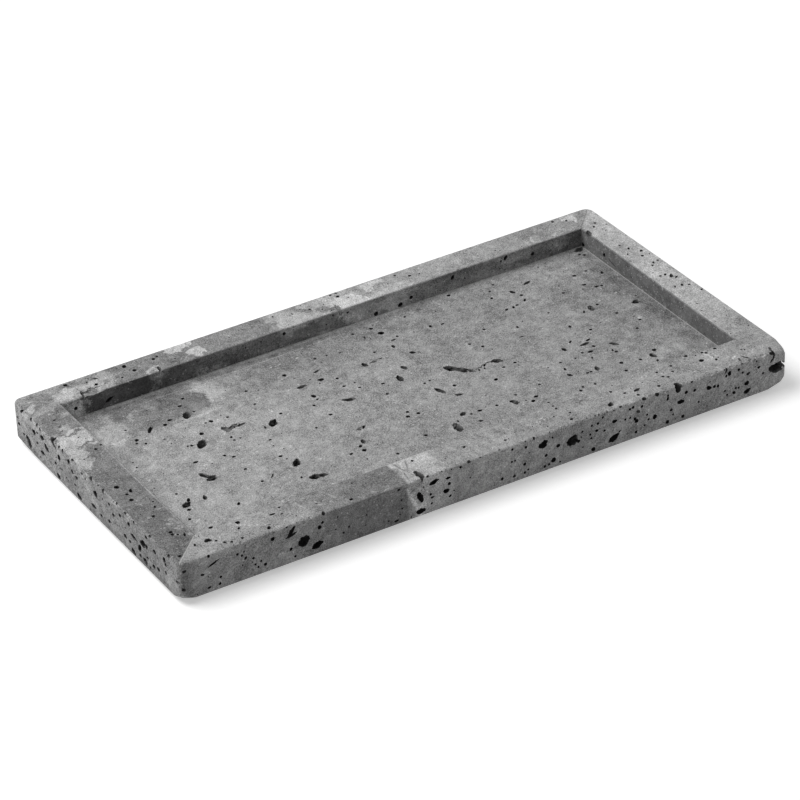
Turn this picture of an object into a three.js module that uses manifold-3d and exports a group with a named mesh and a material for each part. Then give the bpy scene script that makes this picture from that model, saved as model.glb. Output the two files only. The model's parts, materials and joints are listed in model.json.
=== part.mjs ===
// Travertine tray: four mitred stone rails bonded round a let-in floor panel, standing on adhesive pads.
// Millimetres, +Z up. The origin lies under the middle of the tray, on the surface that it stands on.
import * as THREE from "three";
import { mergeVertices } from "three/addons/utils/BufferGeometryUtils.js";
import Module from "manifold-3d";

const wasm = await Module();
wasm.setup();

// Stone sizes
const trayLength = 304.8;
const trayWidth = 152.4;
const stoneHeight = 19.5;
const panelThickness = 10;
const frontRailWidth = 16.1;
const backRailWidth = 15.3;
const leftRailWidth = 16.7;
const rightRailWidth = 15;

// How far the right corners stand off square: the front one out and forward, the back one in
const frontRightOut = 0.9;
const frontRightForward = 2.7;
const backRightIn = 0.8;

// Ground corners, seen from above, and eased edges
const frontLeftCorner = 9;
const frontRightCorner = 5;
const backRightCorner = 4.5;
const backLeftCorner = 4;
const topEdgeRadius = 1;
const bottomEdgeRadius = 1.6;
const rimEdgeRadius = 0.8;
const cornerSteps = 8;
const edgeSteps = 3;

// Resin joints
const bondThickness = 0.4;
const bondClearance = 0.02;

// Pads
const padRadius = 6;
const padFootRadius = 5.2;
const padThickness = 1.5;
const padEdgeRadius = 0.4;
const padMargin = 5;
const padFilmRadius = 5.6;
const padFilmThickness = 0.2;
const padSteps = 24;
const padEdgeSteps = 1;

// Natural voids: how far a void's wall swells and shrinks round its ellipsoid
const voidUnevenness = 0.16;
const voidFineness = 1;

// How far cutting shapes run past what they cut
const cutReach = 12;

// Levels and faces that follow from the sizes above
const stoneBase = padThickness + padFilmThickness;
const stoneTop = stoneBase + stoneHeight;
const floorTop = stoneBase + panelThickness;
const outer = { left: -trayLength / 2, right: trayLength / 2, front: -trayWidth / 2, back: trayWidth / 2 };
// The plan's corners before grinding, each with its radius, counter-clockwise from above
const planCorners = {
  front_left: { x: outer.left, y: outer.front, radius: frontLeftCorner },
  front_right: {
    x: outer.right + frontRightOut,
    y: outer.front - frontRightForward,
    radius: frontRightCorner,
  },
  back_right: { x: outer.right - backRightIn, y: outer.back, radius: backRightCorner },
  back_left: { x: outer.left, y: outer.back, radius: backLeftCorner },
};
const inner = {
  left: outer.left + leftRailWidth,
  right: outer.right - rightRailWidth,
  front: outer.front + frontRailWidth,
  back: outer.back - backRailWidth,
};

// Finishes
const stone = new THREE.MeshStandardMaterial({ color: 0x7b7b7b, roughness: 0.72, metalness: 0 });
const resin = new THREE.MeshStandardMaterial({ color: 0xa6a6a3, roughness: 0.5, metalness: 0 });
const rubber = new THREE.MeshStandardMaterial({ color: 0x2c2c2d, roughness: 0.85, metalness: 0 });
const film = new THREE.MeshStandardMaterial({ color: 0xc9c7bf, roughness: 0.6, metalness: 0 });

const tray = new THREE.Group();

function solidOf(geometry) {
  const bare = geometry.clone();
  bare.deleteAttribute("normal");
  bare.deleteAttribute("uv");
  const merged = mergeVertices(bare);
  const vertProperties = new Float32Array(merged.getAttribute("position").array);
  const triVerts = new Uint32Array(merged.getIndex().array);
  return new wasm.Manifold(new wasm.Mesh({ numProp: 3, vertProperties, triVerts }));
}

function geometryOf(solid) {
  const mesh = solid.getMesh();
  const geometry = new THREE.BufferGeometry();
  geometry.setAttribute("position", new THREE.BufferAttribute(mesh.vertProperties, 3));
  geometry.setIndex(new THREE.BufferAttribute(mesh.triVerts, 1));
  geometry.computeVertexNormals();
  return geometry;
}

function addPiece(name, geometry, material) {
  const mesh = new THREE.Mesh(geometry, material);
  mesh.name = name;
  tray.add(mesh);
  return mesh;
}

// An upright prism over a plan outline.
function prism(points, low, high) {
  const outline = new THREE.Shape(points);
  const geometry = new THREE.ExtrudeGeometry(outline, { depth: high - low, bevelEnabled: false });
  return geometry.translate(0, 0, low);
}

function rectangle(left, right, front, back) {
  return [
    new THREE.Vector2(left, front),
    new THREE.Vector2(right, front),
    new THREE.Vector2(right, back),
    new THREE.Vector2(left, back),
  ];
}

function planPoint(name) {
  return new THREE.Vector2(planCorners[name].x, planCorners[name].y);
}

// The arc that grinds a corner of the plan, tangent to both its sides.
function cornerArc(name) {
  const names = Object.keys(planCorners);
  const place = names.indexOf(name);
  const { radius } = planCorners[name];
  const point = planPoint(name);
  const before = planPoint(names.at(place - 1)).sub(point).normalize();
  const after = planPoint(names[(place + 1) % names.length]).sub(point).normalize();
  const half = Math.acos(before.dot(after)) / 2;
  const centre = before.clone().add(after).setLength(radius / Math.sin(half)).add(point);
  const tangent = radius / Math.tan(half);
  const turnTo = (side) => side.clone().multiplyScalar(tangent).add(point).sub(centre).angle();
  return { centre, radius, from: turnTo(before), to: turnTo(after) };
}

// The tray's plan with its four ground corners.
function trayOutline() {
  const outline = new THREE.Shape();
  for (const name of Object.keys(planCorners)) {
    const { centre, radius, from, to } = cornerArc(name);
    outline.absarc(centre.x, centre.y, radius, from, to, false);
  }
  outline.closePath();
  return outline;
}

// A slab over the tray's plan with the edges at both ends eased alike.
function easedSlab(low, high, edgeRadius) {
  const geometry = new THREE.ExtrudeGeometry(trayOutline(), {
    depth: high - low - 2 * edgeRadius,
    curveSegments: cornerSteps,
    bevelThickness: edgeRadius,
    bevelSize: edgeRadius,
    bevelOffset: -edgeRadius,
    bevelSegments: edgeSteps,
  });
  return solidOf(geometry.translate(0, 0, low + edgeRadius));
}

// The whole stone block that the rails and their joints are shares of.
function stoneBlank() {
  const upper = easedSlab(stoneBase - cutReach, stoneTop, topEdgeRadius);
  const lower = easedSlab(stoneBase, stoneTop + cutReach, bottomEdgeRadius);
  return upper.intersect(lower);
}

const sides = {
  front: { turn: 0, middle: [0, outer.front], width: frontRailWidth, run: trayLength },
  right: { turn: Math.PI / 2, middle: [outer.right, 0], width: rightRailWidth, run: trayWidth },
  back: { turn: Math.PI, middle: [0, outer.back], width: backRailWidth, run: trayLength },
  left: { turn: -Math.PI / 2, middle: [outer.left, 0], width: leftRailWidth, run: trayWidth },
};

// A rail's section, run past both its ends: upright inner face and eased inner rim edge.
function railStock({ turn, middle, width, run }) {
  const section = new THREE.Shape();
  section.moveTo(-cutReach, stoneBase - cutReach);
  section.lineTo(width, stoneBase - cutReach);
  section.absarc(width - rimEdgeRadius, stoneTop - rimEdgeRadius, rimEdgeRadius, 0, Math.PI / 2, false);
  section.lineTo(-cutReach, stoneTop);
  section.closePath();
  const length = run + 2 * cutReach;
  const geometry = new THREE.ExtrudeGeometry(section, {
    depth: length,
    curveSegments: edgeSteps,
    bevelEnabled: false,
  });
  geometry.translate(0, 0, -length / 2);
  // the section's first axis points into the tray, its second up, and the run lies along the side
  const place = new THREE.Matrix4().makeBasis(
    new THREE.Vector3(0, 1, 0),
    new THREE.Vector3(0, 0, 1),
    new THREE.Vector3(1, 0, 0),
  );
  geometry.applyMatrix4(place);
  geometry.rotateZ(turn);
  geometry.translate(middle[0], middle[1], 0);
  return solidOf(geometry);
}

// A mitre runs from the recess's corner to the tray's corner and past both.
function mitreLine(endSide, longSide) {
  const inside = new THREE.Vector2(inner[endSide], inner[longSide]);
  const outside = planPoint(`${longSide}_${endSide}`);
  const along = outside.clone().sub(inside).normalize();
  return {
    inside,
    along,
    innerEnd: inside.clone().addScaledVector(along, -cutReach),
    outerEnd: outside.clone().addScaledVector(along, cutReach),
    across: new THREE.Vector2(-along.y, along.x),
  };
}

// A mitre's two ends moved half a bond sideways, towards the rail whose middle is given.
function mitreFace(mitre, railMiddle) {
  const side = Math.sign(railMiddle.clone().sub(mitre.inside).dot(mitre.across));
  const shift = mitre.across.clone().multiplyScalar((side * bondThickness) / 2);
  return [mitre.innerEnd.clone().add(shift), mitre.outerEnd.clone().add(shift)];
}

const corners = [
  ["left", "front"],
  ["right", "front"],
  ["right", "back"],
  ["left", "back"],
];
const mitres = new Map(corners.map(([end, long]) => [`${long}_${end}`, mitreLine(end, long)]));

// Each rail lies between the two mitres named here.
const railEnds = {
  front: ["front_left", "front_right"],
  right: ["front_right", "back_right"],
  back: ["back_right", "back_left"],
  left: ["back_left", "front_left"],
};

function railShare(side) {
  const middle = new THREE.Vector2(...sides[side].middle);
  const [first, second] = railEnds[side].map((name) => mitres.get(name));
  const [firstIn, firstOut] = mitreFace(first, middle);
  const [secondIn, secondOut] = mitreFace(second, middle);
  const outline = [firstIn, firstOut, secondOut, secondIn];
  return solidOf(prism(outline, stoneBase - cutReach, stoneTop + cutReach));
}

// How far along its mitre the ground corner lies from the recess's corner.
function mitreReach(mitre, name) {
  const { centre, radius } = cornerArc(name);
  const start = mitre.inside.clone().sub(centre);
  const half = mitre.along.dot(start);
  return Math.sqrt(half * half - start.lengthSq() + radius * radius) - half;
}

// The film in a mitre: its section follows the rails' edges, a clearance thinner than the gap on each side.
function mitreFilm(name) {
  const mitre = mitres.get(name);
  const reach = mitreReach(mitre, name) - bondClearance;
  const quarter = Math.PI / 2;
  const footEnd = reach - bottomEdgeRadius;
  const rimEnd = reach - topEdgeRadius;
  const rimEase = rimEdgeRadius / Math.min(Math.abs(mitre.along.x), Math.abs(mitre.along.y));
  const section = new THREE.Shape();
  section.moveTo(0, stoneBase);
  section.absarc(footEnd, stoneBase + bottomEdgeRadius, bottomEdgeRadius, -quarter, 0, false);
  section.absarc(rimEnd, stoneTop - topEdgeRadius, topEdgeRadius, 0, quarter, false);
  section.absellipse(rimEase, stoneTop - rimEdgeRadius, rimEase, rimEdgeRadius, quarter, 2 * quarter, false);
  section.closePath();
  const thickness = bondThickness - 2 * bondClearance;
  const geometry = new THREE.ExtrudeGeometry(section, {
    depth: thickness,
    curveSegments: edgeSteps,
    bevelEnabled: false,
  });
  geometry.translate(0, 0, -thickness / 2);
  const first = new THREE.Vector3(mitre.along.x, mitre.along.y, 0);
  const second = new THREE.Vector3(0, 0, 1);
  const place = new THREE.Matrix4().makeBasis(first, second, first.clone().cross(second));
  return geometry.applyMatrix4(place.setPosition(mitre.inside.x, mitre.inside.y, 0));
}

// The front runs a little off square, from corner to corner of the plan.
const frontRun = planPoint("front_right").sub(planPoint("front_left"));
const frontMiddle = planPoint("front_left").addScaledVector(frontRun, -outer.left / frontRun.x);
frontRun.normalize();

// Faces that carry natural voids: where a face starts, its two directions and its outward normal.
const faces = {
  floor: { start: [0, 0, floorTop], along: [1, 0, 0], up: [0, 1, 0], out: [0, 0, 1] },
  rim: { start: [0, 0, stoneTop], along: [1, 0, 0], up: [0, 1, 0], out: [0, 0, 1] },
  front: {
    start: [frontMiddle.x, frontMiddle.y, stoneBase],
    along: [frontRun.x, frontRun.y, 0],
    up: [0, 0, 1],
    out: [frontRun.y, -frontRun.x, 0],
  },
  left: { start: [outer.left, 0, stoneBase], along: [0, -1, 0], up: [0, 0, 1], out: [-1, 0, 0] },
};

// A lump whose mouth has the given length and breadth on a face and whose bottom is the given depth below it.
function naturalVoid(face, { along, up, length, breadth, depth, turn = 0 }) {
  const lump = new THREE.IcosahedronGeometry(1, voidFineness);
  const position = lump.getAttribute("position");
  const point = new THREE.Vector3();
  const phase = along + 3 * up;
  for (let i = 0; i < position.count; i += 1) {
    point.fromBufferAttribute(position, i);
    const acrossSwell = Math.sin(4 * point.x + phase) * Math.cos(3 * point.y - phase);
    const depthSwell = 0.5 * Math.sin(5 * point.z + phase);
    point.multiplyScalar(1 + voidUnevenness * (acrossSwell + depthSwell));
    position.setXYZ(i, point.x, point.y, point.z);
  }
  const { start, along: first, up: second, out } = faces[face];
  lump.scale(length / 2, breadth / 2, depth);
  lump.rotateZ(THREE.MathUtils.degToRad(turn));
  lump.translate(along, up, 0);
  const place = new THREE.Matrix4().makeBasis(
    new THREE.Vector3(...first),
    new THREE.Vector3(...second),
    new THREE.Vector3(...out),
  );
  lump.applyMatrix4(place.setPosition(...start));
  return solidOf(lump);
}

function cutVoids(solid, face, voids) {
  return voids.reduce((rest, one) => rest.subtract(naturalVoid(face, one)), solid);
}

// The larger voids in the floor, from the left wall to the right.
const floorVoids = [
  { along: -121.8, up: -25.8, length: 5.4, breadth: 3.6, depth: 2.6, turn: 50 },
  { along: -107.2, up: 34.6, length: 3.6, breadth: 2.2, depth: 1.8, turn: 45 },
  { along: -104, up: -13.2, length: 7.2, breadth: 3.8, depth: 2.8, turn: -60 },
  { along: -94.8, up: 11.8, length: 6.2, breadth: 4.2, depth: 2.8, turn: 25 },
  { along: -88.6, up: 34.8, length: 4.2, breadth: 3, depth: 2.2, turn: 40 },
  { along: -67.4, up: -24.2, length: 6.4, breadth: 3.2, depth: 2.4, turn: 55 },
  { along: -65, up: -38.6, length: 7.4, breadth: 4.8, depth: 3.2, turn: -25 },
  { along: -59.4, up: 8.6, length: 5.8, breadth: 4, depth: 2.6, turn: 30 },
  { along: -22.4, up: 6.2, length: 5.6, breadth: 2.2, depth: 2, turn: -25 },
  { along: 4.6, up: -39.4, length: 5.4, breadth: 3.2, depth: 2.2, turn: 85 },
  { along: 5.2, up: 8.6, length: 4.2, breadth: 2.8, depth: 2.2, turn: 80 },
  { along: 14.4, up: -10, length: 5.6, breadth: 2.4, depth: 1.2, turn: -70 },
  { along: 28.6, up: 2.6, length: 7.6, breadth: 4.8, depth: 3.4, turn: -42 },
  { along: 33, up: -2.2, length: 6.4, breadth: 2.8, depth: 2.6, turn: -48 },
  { along: 36.6, up: -36.2, length: 4.4, breadth: 2.4, depth: 2, turn: -55 },
  { along: 48.8, up: -3.4, length: 5, breadth: 3.2, depth: 2.4, turn: -20 },
  { along: 90.2, up: -12, length: 6, breadth: 2.4, depth: 2, turn: 25 },
  { along: 99.6, up: -20, length: 4.6, breadth: 2.4, depth: 2, turn: -50 },
  { along: 109.2, up: 11.2, length: 4.2, breadth: 2.8, depth: 2, turn: 10 },
  { along: 109.2, up: -38.4, length: 3.8, breadth: 2.8, depth: 2, turn: 60 },
  { along: 129, up: 4.8, length: 4.8, breadth: 2.8, depth: 2.2, turn: 15 },
];

// The larger voids in the front face, from left to right.
const frontVoids = [
  { along: -99.7, up: 15.9, length: 5.2, breadth: 2, depth: 1.6, turn: 20 },
  { along: -94.1, up: 9.4, length: 4.6, breadth: 4.2, depth: 2.6, turn: 30 },
  { along: -87.8, up: 4.8, length: 4.8, breadth: 3.4, depth: 2.2, turn: 15 },
  { along: -37.4, up: 10.2, length: 5, breadth: 2.8, depth: 2.2, turn: -70 },
  { along: -37.4, up: 3.4, length: 3.8, breadth: 2.4, depth: 1.8, turn: 10 },
  { along: -30.6, up: 15.2, length: 4.2, breadth: 2.4, depth: 1.8, turn: 15 },
  { along: 24.3, up: 14.6, length: 4.4, breadth: 3.2, depth: 2.2, turn: 10 },
  { along: 39, up: 11.1, length: 5, breadth: 4.8, depth: 2.8, turn: 60 },
  { along: 60.5, up: 5, length: 5, breadth: 3, depth: 2.2, turn: 35 },
  { along: 94.5, up: 18.8, length: 6.2, breadth: 3.6, depth: 2.4, turn: 75 },
  { along: 131.2, up: 4.4, length: 3.8, breadth: 2.6, depth: 1.8, turn: 30 },
];

// The larger voids in the left face, from back to front.
const leftVoids = [
  { along: -61.2, up: 5.6, length: 5.4, breadth: 2.6, depth: 2, turn: -40 },
  { along: -36.2, up: 19, length: 5.6, breadth: 3, depth: 2, turn: -40 },
  { along: 45, up: 12.2, length: 3.8, breadth: 2.8, depth: 2, turn: 20 },
];

// The ragged hollow at the recess's edge in the back rim.
const backRimVoids = [{ along: -123.4, up: inner.back + 0.6, length: 7, breadth: 3.6, depth: 3, turn: 15 }];

// The hollow broken out of the front right corner, across the mitre, set by its reach along the front.
const cornerChip = {
  along: outer.right + frontRightOut - 2.2,
  up: 11.6,
  length: 8.6,
  breadth: 5,
  depth: 6.4,
  turn: 8,
};

const blank = stoneBlank();
const stock = new Map(Object.keys(sides).map((side) => [side, railStock(sides[side])]));
const rails = new Map();
for (const side of stock.keys()) {
  rails.set(side, blank.intersect(stock.get(side)).intersect(railShare(side)));
}

rails.set("front", cutVoids(rails.get("front"), "front", [...frontVoids, cornerChip]));
rails.set("left", cutVoids(rails.get("left"), "left", leftVoids));
rails.set("back", cutVoids(rails.get("back"), "rim", backRimVoids));
rails.set("right", cutVoids(rails.get("right"), "front", [cornerChip]));
for (const [side, solid] of rails) {
  addPiece(`${side}_rail`, geometryOf(solid), stone);
}

const panelOutline = rectangle(
  inner.left + bondThickness,
  inner.right - bondThickness,
  inner.front + bondThickness,
  inner.back - bondThickness,
);
const panel = cutVoids(solidOf(prism(panelOutline, stoneBase, floorTop)), "floor", floorVoids);
addPiece("floor_panel", geometryOf(panel), stone);

// Resin in the mitres, flush with the rails; the corner's hollow runs through the one that it lies on
for (const [end, long] of corners) {
  const name = `${long}_${end}`;
  const whole = mitreFilm(name);
  const chipped = () => geometryOf(solidOf(whole).subtract(naturalVoid("front", cornerChip)));
  addPiece(`mitre_bond_${name}`, name === "front_right" ? chipped() : whole, resin);
}

// Resin line between the floor panel and the rails
const bondRing = new THREE.Shape(
  rectangle(
    inner.left + bondClearance,
    inner.right - bondClearance,
    inner.front + bondClearance,
    inner.back - bondClearance,
  ),
);
const bondWindow = rectangle(
  inner.left + bondThickness - bondClearance,
  inner.right - bondThickness + bondClearance,
  inner.front + bondThickness - bondClearance,
  inner.back - bondThickness + bondClearance,
);
bondRing.holes.push(new THREE.Path(bondWindow));
const floorBond = new THREE.ExtrudeGeometry(bondRing, { depth: panelThickness, bevelEnabled: false });
addPiece("floor_bond", floorBond.translate(0, 0, stoneBase), resin);

// A pad's half section: flat foot, rounded foot edge, side that widens to the glued face.
function padProfile() {
  const profile = new THREE.Path();
  profile.moveTo(0, 0);
  profile.lineTo(padFootRadius - padEdgeRadius, 0);
  profile.absarc(padFootRadius - padEdgeRadius, padEdgeRadius, padEdgeRadius, -Math.PI / 2, 0, false);
  profile.lineTo(padRadius, padThickness);
  profile.lineTo(0, padThickness);
  return profile.getPoints(padEdgeSteps);
}

for (const [end, long] of corners) {
  const reach = padMargin + padRadius;
  const x = inner[end] - Math.sign(inner[end]) * reach;
  const y = inner[long] - Math.sign(inner[long]) * reach;
  const pad = new THREE.LatheGeometry(padProfile(), padSteps).rotateX(Math.PI / 2);
  addPiece(`pad_${long}_${end}`, pad, rubber).position.set(x, y, 0);
  const disc = new THREE.CylinderGeometry(padFilmRadius, padFilmRadius, padFilmThickness, padSteps);
  const glue = addPiece(`pad_film_${long}_${end}`, disc.rotateX(Math.PI / 2), film);
  glue.position.set(x, y, padThickness + padFilmThickness / 2);
}

// The origin goes under the middle of the whole
const middle = new THREE.Box3().setFromObject(tray).getCenter(new THREE.Vector3());
for (const piece of tray.children) {
  piece.position.x -= middle.x;
  piece.position.y -= middle.y;
}

export default tray;
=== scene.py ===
import json
import math
import random
import bpy
from mathutils import Matrix, Vector

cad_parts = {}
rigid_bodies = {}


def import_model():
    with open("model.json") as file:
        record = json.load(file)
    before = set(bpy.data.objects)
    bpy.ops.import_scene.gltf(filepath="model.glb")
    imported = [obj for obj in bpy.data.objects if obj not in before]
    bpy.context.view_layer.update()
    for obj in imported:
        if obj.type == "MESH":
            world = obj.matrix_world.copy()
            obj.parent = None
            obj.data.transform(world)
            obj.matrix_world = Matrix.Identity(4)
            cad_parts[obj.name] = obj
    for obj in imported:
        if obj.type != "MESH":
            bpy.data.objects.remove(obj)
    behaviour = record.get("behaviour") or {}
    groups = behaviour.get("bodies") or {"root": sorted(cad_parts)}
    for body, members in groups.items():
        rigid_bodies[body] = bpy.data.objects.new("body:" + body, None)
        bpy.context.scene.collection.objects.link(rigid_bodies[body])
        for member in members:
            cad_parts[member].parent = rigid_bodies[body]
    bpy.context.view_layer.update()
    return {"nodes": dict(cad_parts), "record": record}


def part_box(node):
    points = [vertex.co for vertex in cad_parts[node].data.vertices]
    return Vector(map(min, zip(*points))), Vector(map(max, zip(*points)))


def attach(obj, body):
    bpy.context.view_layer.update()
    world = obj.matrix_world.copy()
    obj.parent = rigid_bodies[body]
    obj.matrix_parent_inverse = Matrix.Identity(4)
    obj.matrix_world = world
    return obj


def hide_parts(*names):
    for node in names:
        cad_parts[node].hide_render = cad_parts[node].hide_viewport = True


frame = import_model()
bpy.ops.object.select_all(action="DESELECT")
scene = bpy.context.scene
mm = 0.001
dice = random.Random(41)  # one seed for every scattered pore and chip
print("frame loaded:", len(frame["nodes"]), "nodes")

# sizes and places are in mm from the middle of the tray's square plan, and the frame's origin lies beside it
panelMiddle = Vector((0.85, 0.4, 0))
panelEnds = [Vector(p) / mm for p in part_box("floor_panel")]
shift = ((panelEnds[0] + panelEnds[1]) / 2 - panelMiddle) * Vector((1, 1, 0))


def nodeBox(node):
    return [Vector(p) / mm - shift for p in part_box(node)]


panelBox = nodeBox("floor_panel")
frontBox, backBox, leftBox, rightBox = (nodeBox(f"{side}_rail") for side in ("front", "back", "left", "right"))
inner = {"left": leftBox[1].x, "right": rightBox[0].x, "front": frontBox[1].y, "back": backBox[0].y}
stoneBase, floorTop, stoneTop = panelBox[0].z, panelBox[1].z, frontBox[1].z

# stage: camera, light and floor

camera = {
    "eye": (-689.46, -1169.07, 861.66),  # mm
    "target": (-4.23, -6.71, 11.7),
    "roll": -1.987,  # degrees
    "lens": 163.4,
    "sensor": 36,
    "sight": 50,  # m
}

lights = {
    "sky": 0.2,  # what the surroundings give from all sides
    "key": {"place": (-1.7, 1.0, 3.25), "size": 2.4, "power": 120},
    "floorSize": 8,
    "floorTone": 0.8,
    "floorLift": 0.42,  # added for camera rays, so that the open floor is white
}


def put(tree, kind, feeds=None, **settings):
    made = tree.nodes.new(kind)
    for name, value in settings.items():
        setattr(made, name, value)
    for name, value in (feeds or {}).items():
        if isinstance(value, bpy.types.NodeSocket):
            tree.links.new(value, made.inputs[name])
        else:
            made.inputs[name].default_value = value
    return made


def reckon(tree, operation, first, second=0.0, clamp=False):
    return put(tree, "ShaderNodeMath", {0: first, 1: second}, operation=operation, use_clamp=clamp).outputs[0]


def added(tree, base, value, share):
    return reckon(tree, "ADD", base, reckon(tree, "MULTIPLY", value, share))


def reckonPlace(tree, operation, first, second):
    return put(tree, "ShaderNodeVectorMath", {0: first, 1: second}, operation=operation).outputs[0]


def scalePlace(tree, place, by):
    return put(tree, "ShaderNodeVectorMath", {0: place, "Scale": by}, operation="SCALE").outputs[0]


def ranged(tree, value, low, high, start=0.0, end=1.0, curve="LINEAR"):
    feeds = {"Value": value, "From Min": low, "From Max": high, "To Min": start, "To Max": end}
    return put(tree, "ShaderNodeMapRange", feeds, interpolation_type=curve).outputs[0]


def mixed(tree, share, first, second):
    return put(tree, "ShaderNodeMix", {0: share, 2: first, 3: second}, data_type="FLOAT").outputs[0]


def newMaterial(name):
    made = bpy.data.materials.new(name)
    made.use_nodes = True
    return made, made.node_tree, made.node_tree.nodes["Principled BSDF"]


def addBump(tree, shader, height, strength, reach):
    bump = put(tree, "ShaderNodeBump", {"Height": height, "Strength": strength, "Distance": reach * mm})
    tree.links.new(bump.outputs[0], shader.inputs["Normal"])


def seenDirectly(tree):
    # camera, mirror and glass rays
    path = put(tree, "ShaderNodeLightPath")
    some = reckon(tree, "ADD", path.outputs["Is Camera Ray"], path.outputs["Is Glossy Ray"], True)
    return reckon(tree, "ADD", some, path.outputs["Is Transmission Ray"], True)


def setCamera():
    eye, target = ((Vector(camera[name]) + shift) * mm for name in ("eye", "target"))
    bpy.ops.object.camera_add(location=eye)
    made = bpy.context.active_object
    look = (target - eye).to_track_quat("-Z", "Y").to_matrix()
    made.rotation_euler = (look @ Matrix.Rotation(math.radians(camera["roll"]), 3, "Z")).to_euler()
    made.data.lens = camera["lens"]
    made.data.sensor_width = camera["sensor"]
    made.data.clip_end = camera["sight"]
    scene.camera = made


def setLights():
    key = lights["key"]
    bpy.ops.object.light_add(type="AREA", location=key["place"])
    lamp = bpy.context.active_object
    lamp.rotation_euler = (-Vector(key["place"])).to_track_quat("-Z", "Y").to_euler()
    lamp.data.size = key["size"]
    lamp.data.energy = key["power"]
    world = bpy.data.worlds.new("studio")
    world.use_nodes = True
    tree = world.node_tree
    tree.nodes.clear()
    white, dim = (put(tree, "ShaderNodeBackground", {"Color": (1, 1, 1, 1), "Strength": strength}).outputs[0]
                  for strength in (1, lights["sky"]))
    both = put(tree, "ShaderNodeMixShader", {0: seenDirectly(tree), 1: dim, 2: white})
    put(tree, "ShaderNodeOutputWorld", {"Surface": both.outputs[0]})
    scene.world = world


def setFloor():
    bpy.ops.mesh.primitive_plane_add(size=lights["floorSize"])
    ground = bpy.context.active_object
    ground.name = "studio_floor"
    paper, tree, shader = newMaterial("studioPaper")
    shader.inputs["Base Color"].default_value = (*[lights["floorTone"]] * 3, 1)
    shader.inputs["Roughness"].default_value = 1
    shader.inputs["Specular IOR Level"].default_value = 0
    shader.inputs["Emission Color"].default_value = (1, 1, 1, 1)
    lift = reckon(tree, "MULTIPLY", seenDirectly(tree), lights["floorLift"])
    tree.links.new(lift, shader.inputs["Emission Strength"])
    ground.data.materials.append(paper)


scene.view_settings.view_transform = "Standard"
setCamera()
setLights()
setFloor()
print("stage set")

# shared effects of the stone

stonePattern = {
    "bends": ((60, 0.011), (220, 0.008), (800, 0.003)),  # scale and reach of the noises that bend the patches
    # scale and detail of each noise
    "noises": {"Cloud": (38, 5), "Mottle": (240, 5), "Grain": (1900, 3), "Rag": (150, 7), "Streak": (160, 4)},
    "roughness": 0.65,
    "lean": (0, -28, 20), "stretch": (4.5, 1.7, 1),  # of the streaks
    "flecks": ((330, 0.24, 0.16), (700, 0.32, 0.16)), "pits": (420, 0.2, 0.2),  # scale, size and share of the cells
    "veins": (26, 4, 0.7), "veinWidth": 0.03,  # scale, detail and roughness
}


def newGroup(name, inputs, outputs):
    group = bpy.data.node_groups.new(name, "ShaderNodeTree")
    for title, kind, start in inputs:
        group.interface.new_socket(title, in_out="INPUT", socket_type="NodeSocket" + kind).default_value = start
    for title, kind in outputs:
        group.interface.new_socket(title, in_out="OUTPUT", socket_type="NodeSocket" + kind)
    return group, group.nodes.new("NodeGroupInput").outputs, group.nodes.new("NodeGroupOutput").inputs


def addNoise(tree, place, scale, detail, roughness=0.5):
    feeds = {"Vector": place, "Scale": scale, "Detail": detail, "Roughness": roughness}
    return put(tree, "ShaderNodeTexNoise", feeds).outputs


def makeWarp():
    # bends the coordinates, so that patches and veins get natural borders
    group, start, end = newGroup("stoneWarp", [("Vector", "Vector", (0, 0, 0))], [("Vector", "Vector")])
    place = start["Vector"]
    for scale, reach in stonePattern["bends"]:
        noise = addNoise(group, start["Vector"], scale, 2)["Color"]
        bend = scalePlace(group, reckonPlace(group, "SUBTRACT", noise, (0.5, 0.5, 0.5)), reach)
        place = reckonPlace(group, "ADD", place, bend)
    group.links.new(place, end["Vector"])
    return group


def makePatch():
    # one cloud of other stone round a point in plan
    inputs = [("Vector", "Vector", (0, 0, 0)), ("Centre", "Vector", (0, 0, 0)), ("Reach", "Vector", (1, 1, 1)),
              ("Turn", "Float", 0.0), ("Edge", "Float", 0.2), ("Rag", "Float", 0.0)]
    group, start, end = newGroup("stonePatch", inputs, [("Mask", "Float")])
    turned = put(group, "ShaderNodeCombineXYZ", {"Z": start["Turn"]}).outputs[0]
    feeds = {"Vector": start["Vector"], "Location": start["Centre"], "Rotation": turned, "Scale": start["Reach"]}
    local = put(group, "ShaderNodeMapping", feeds, vector_type="TEXTURE").outputs[0]
    away = put(group, "ShaderNodeVectorMath", {0: local}, operation="LENGTH").outputs["Value"]
    away = reckon(group, "ADD", away, start["Rag"])
    far, near = (reckon(group, way, 1.0, start["Edge"]) for way in ("ADD", "SUBTRACT"))
    group.links.new(ranged(group, away, far, near, curve="SMOOTHSTEP"), end["Mask"])
    return group


def spots(tree, place, scale, size, share):
    # round spots in some of the cells of a Voronoi pattern
    cells = put(tree, "ShaderNodeTexVoronoi", {"Vector": place, "Scale": scale}).outputs
    shape = ranged(tree, cells["Distance"], size, size / 2)
    chance = put(tree, "ShaderNodeSeparateColor", {"Color": cells["Color"]}).outputs[0]
    return reckon(tree, "MULTIPLY", shape, reckon(tree, "LESS_THAN", chance, share))


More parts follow.
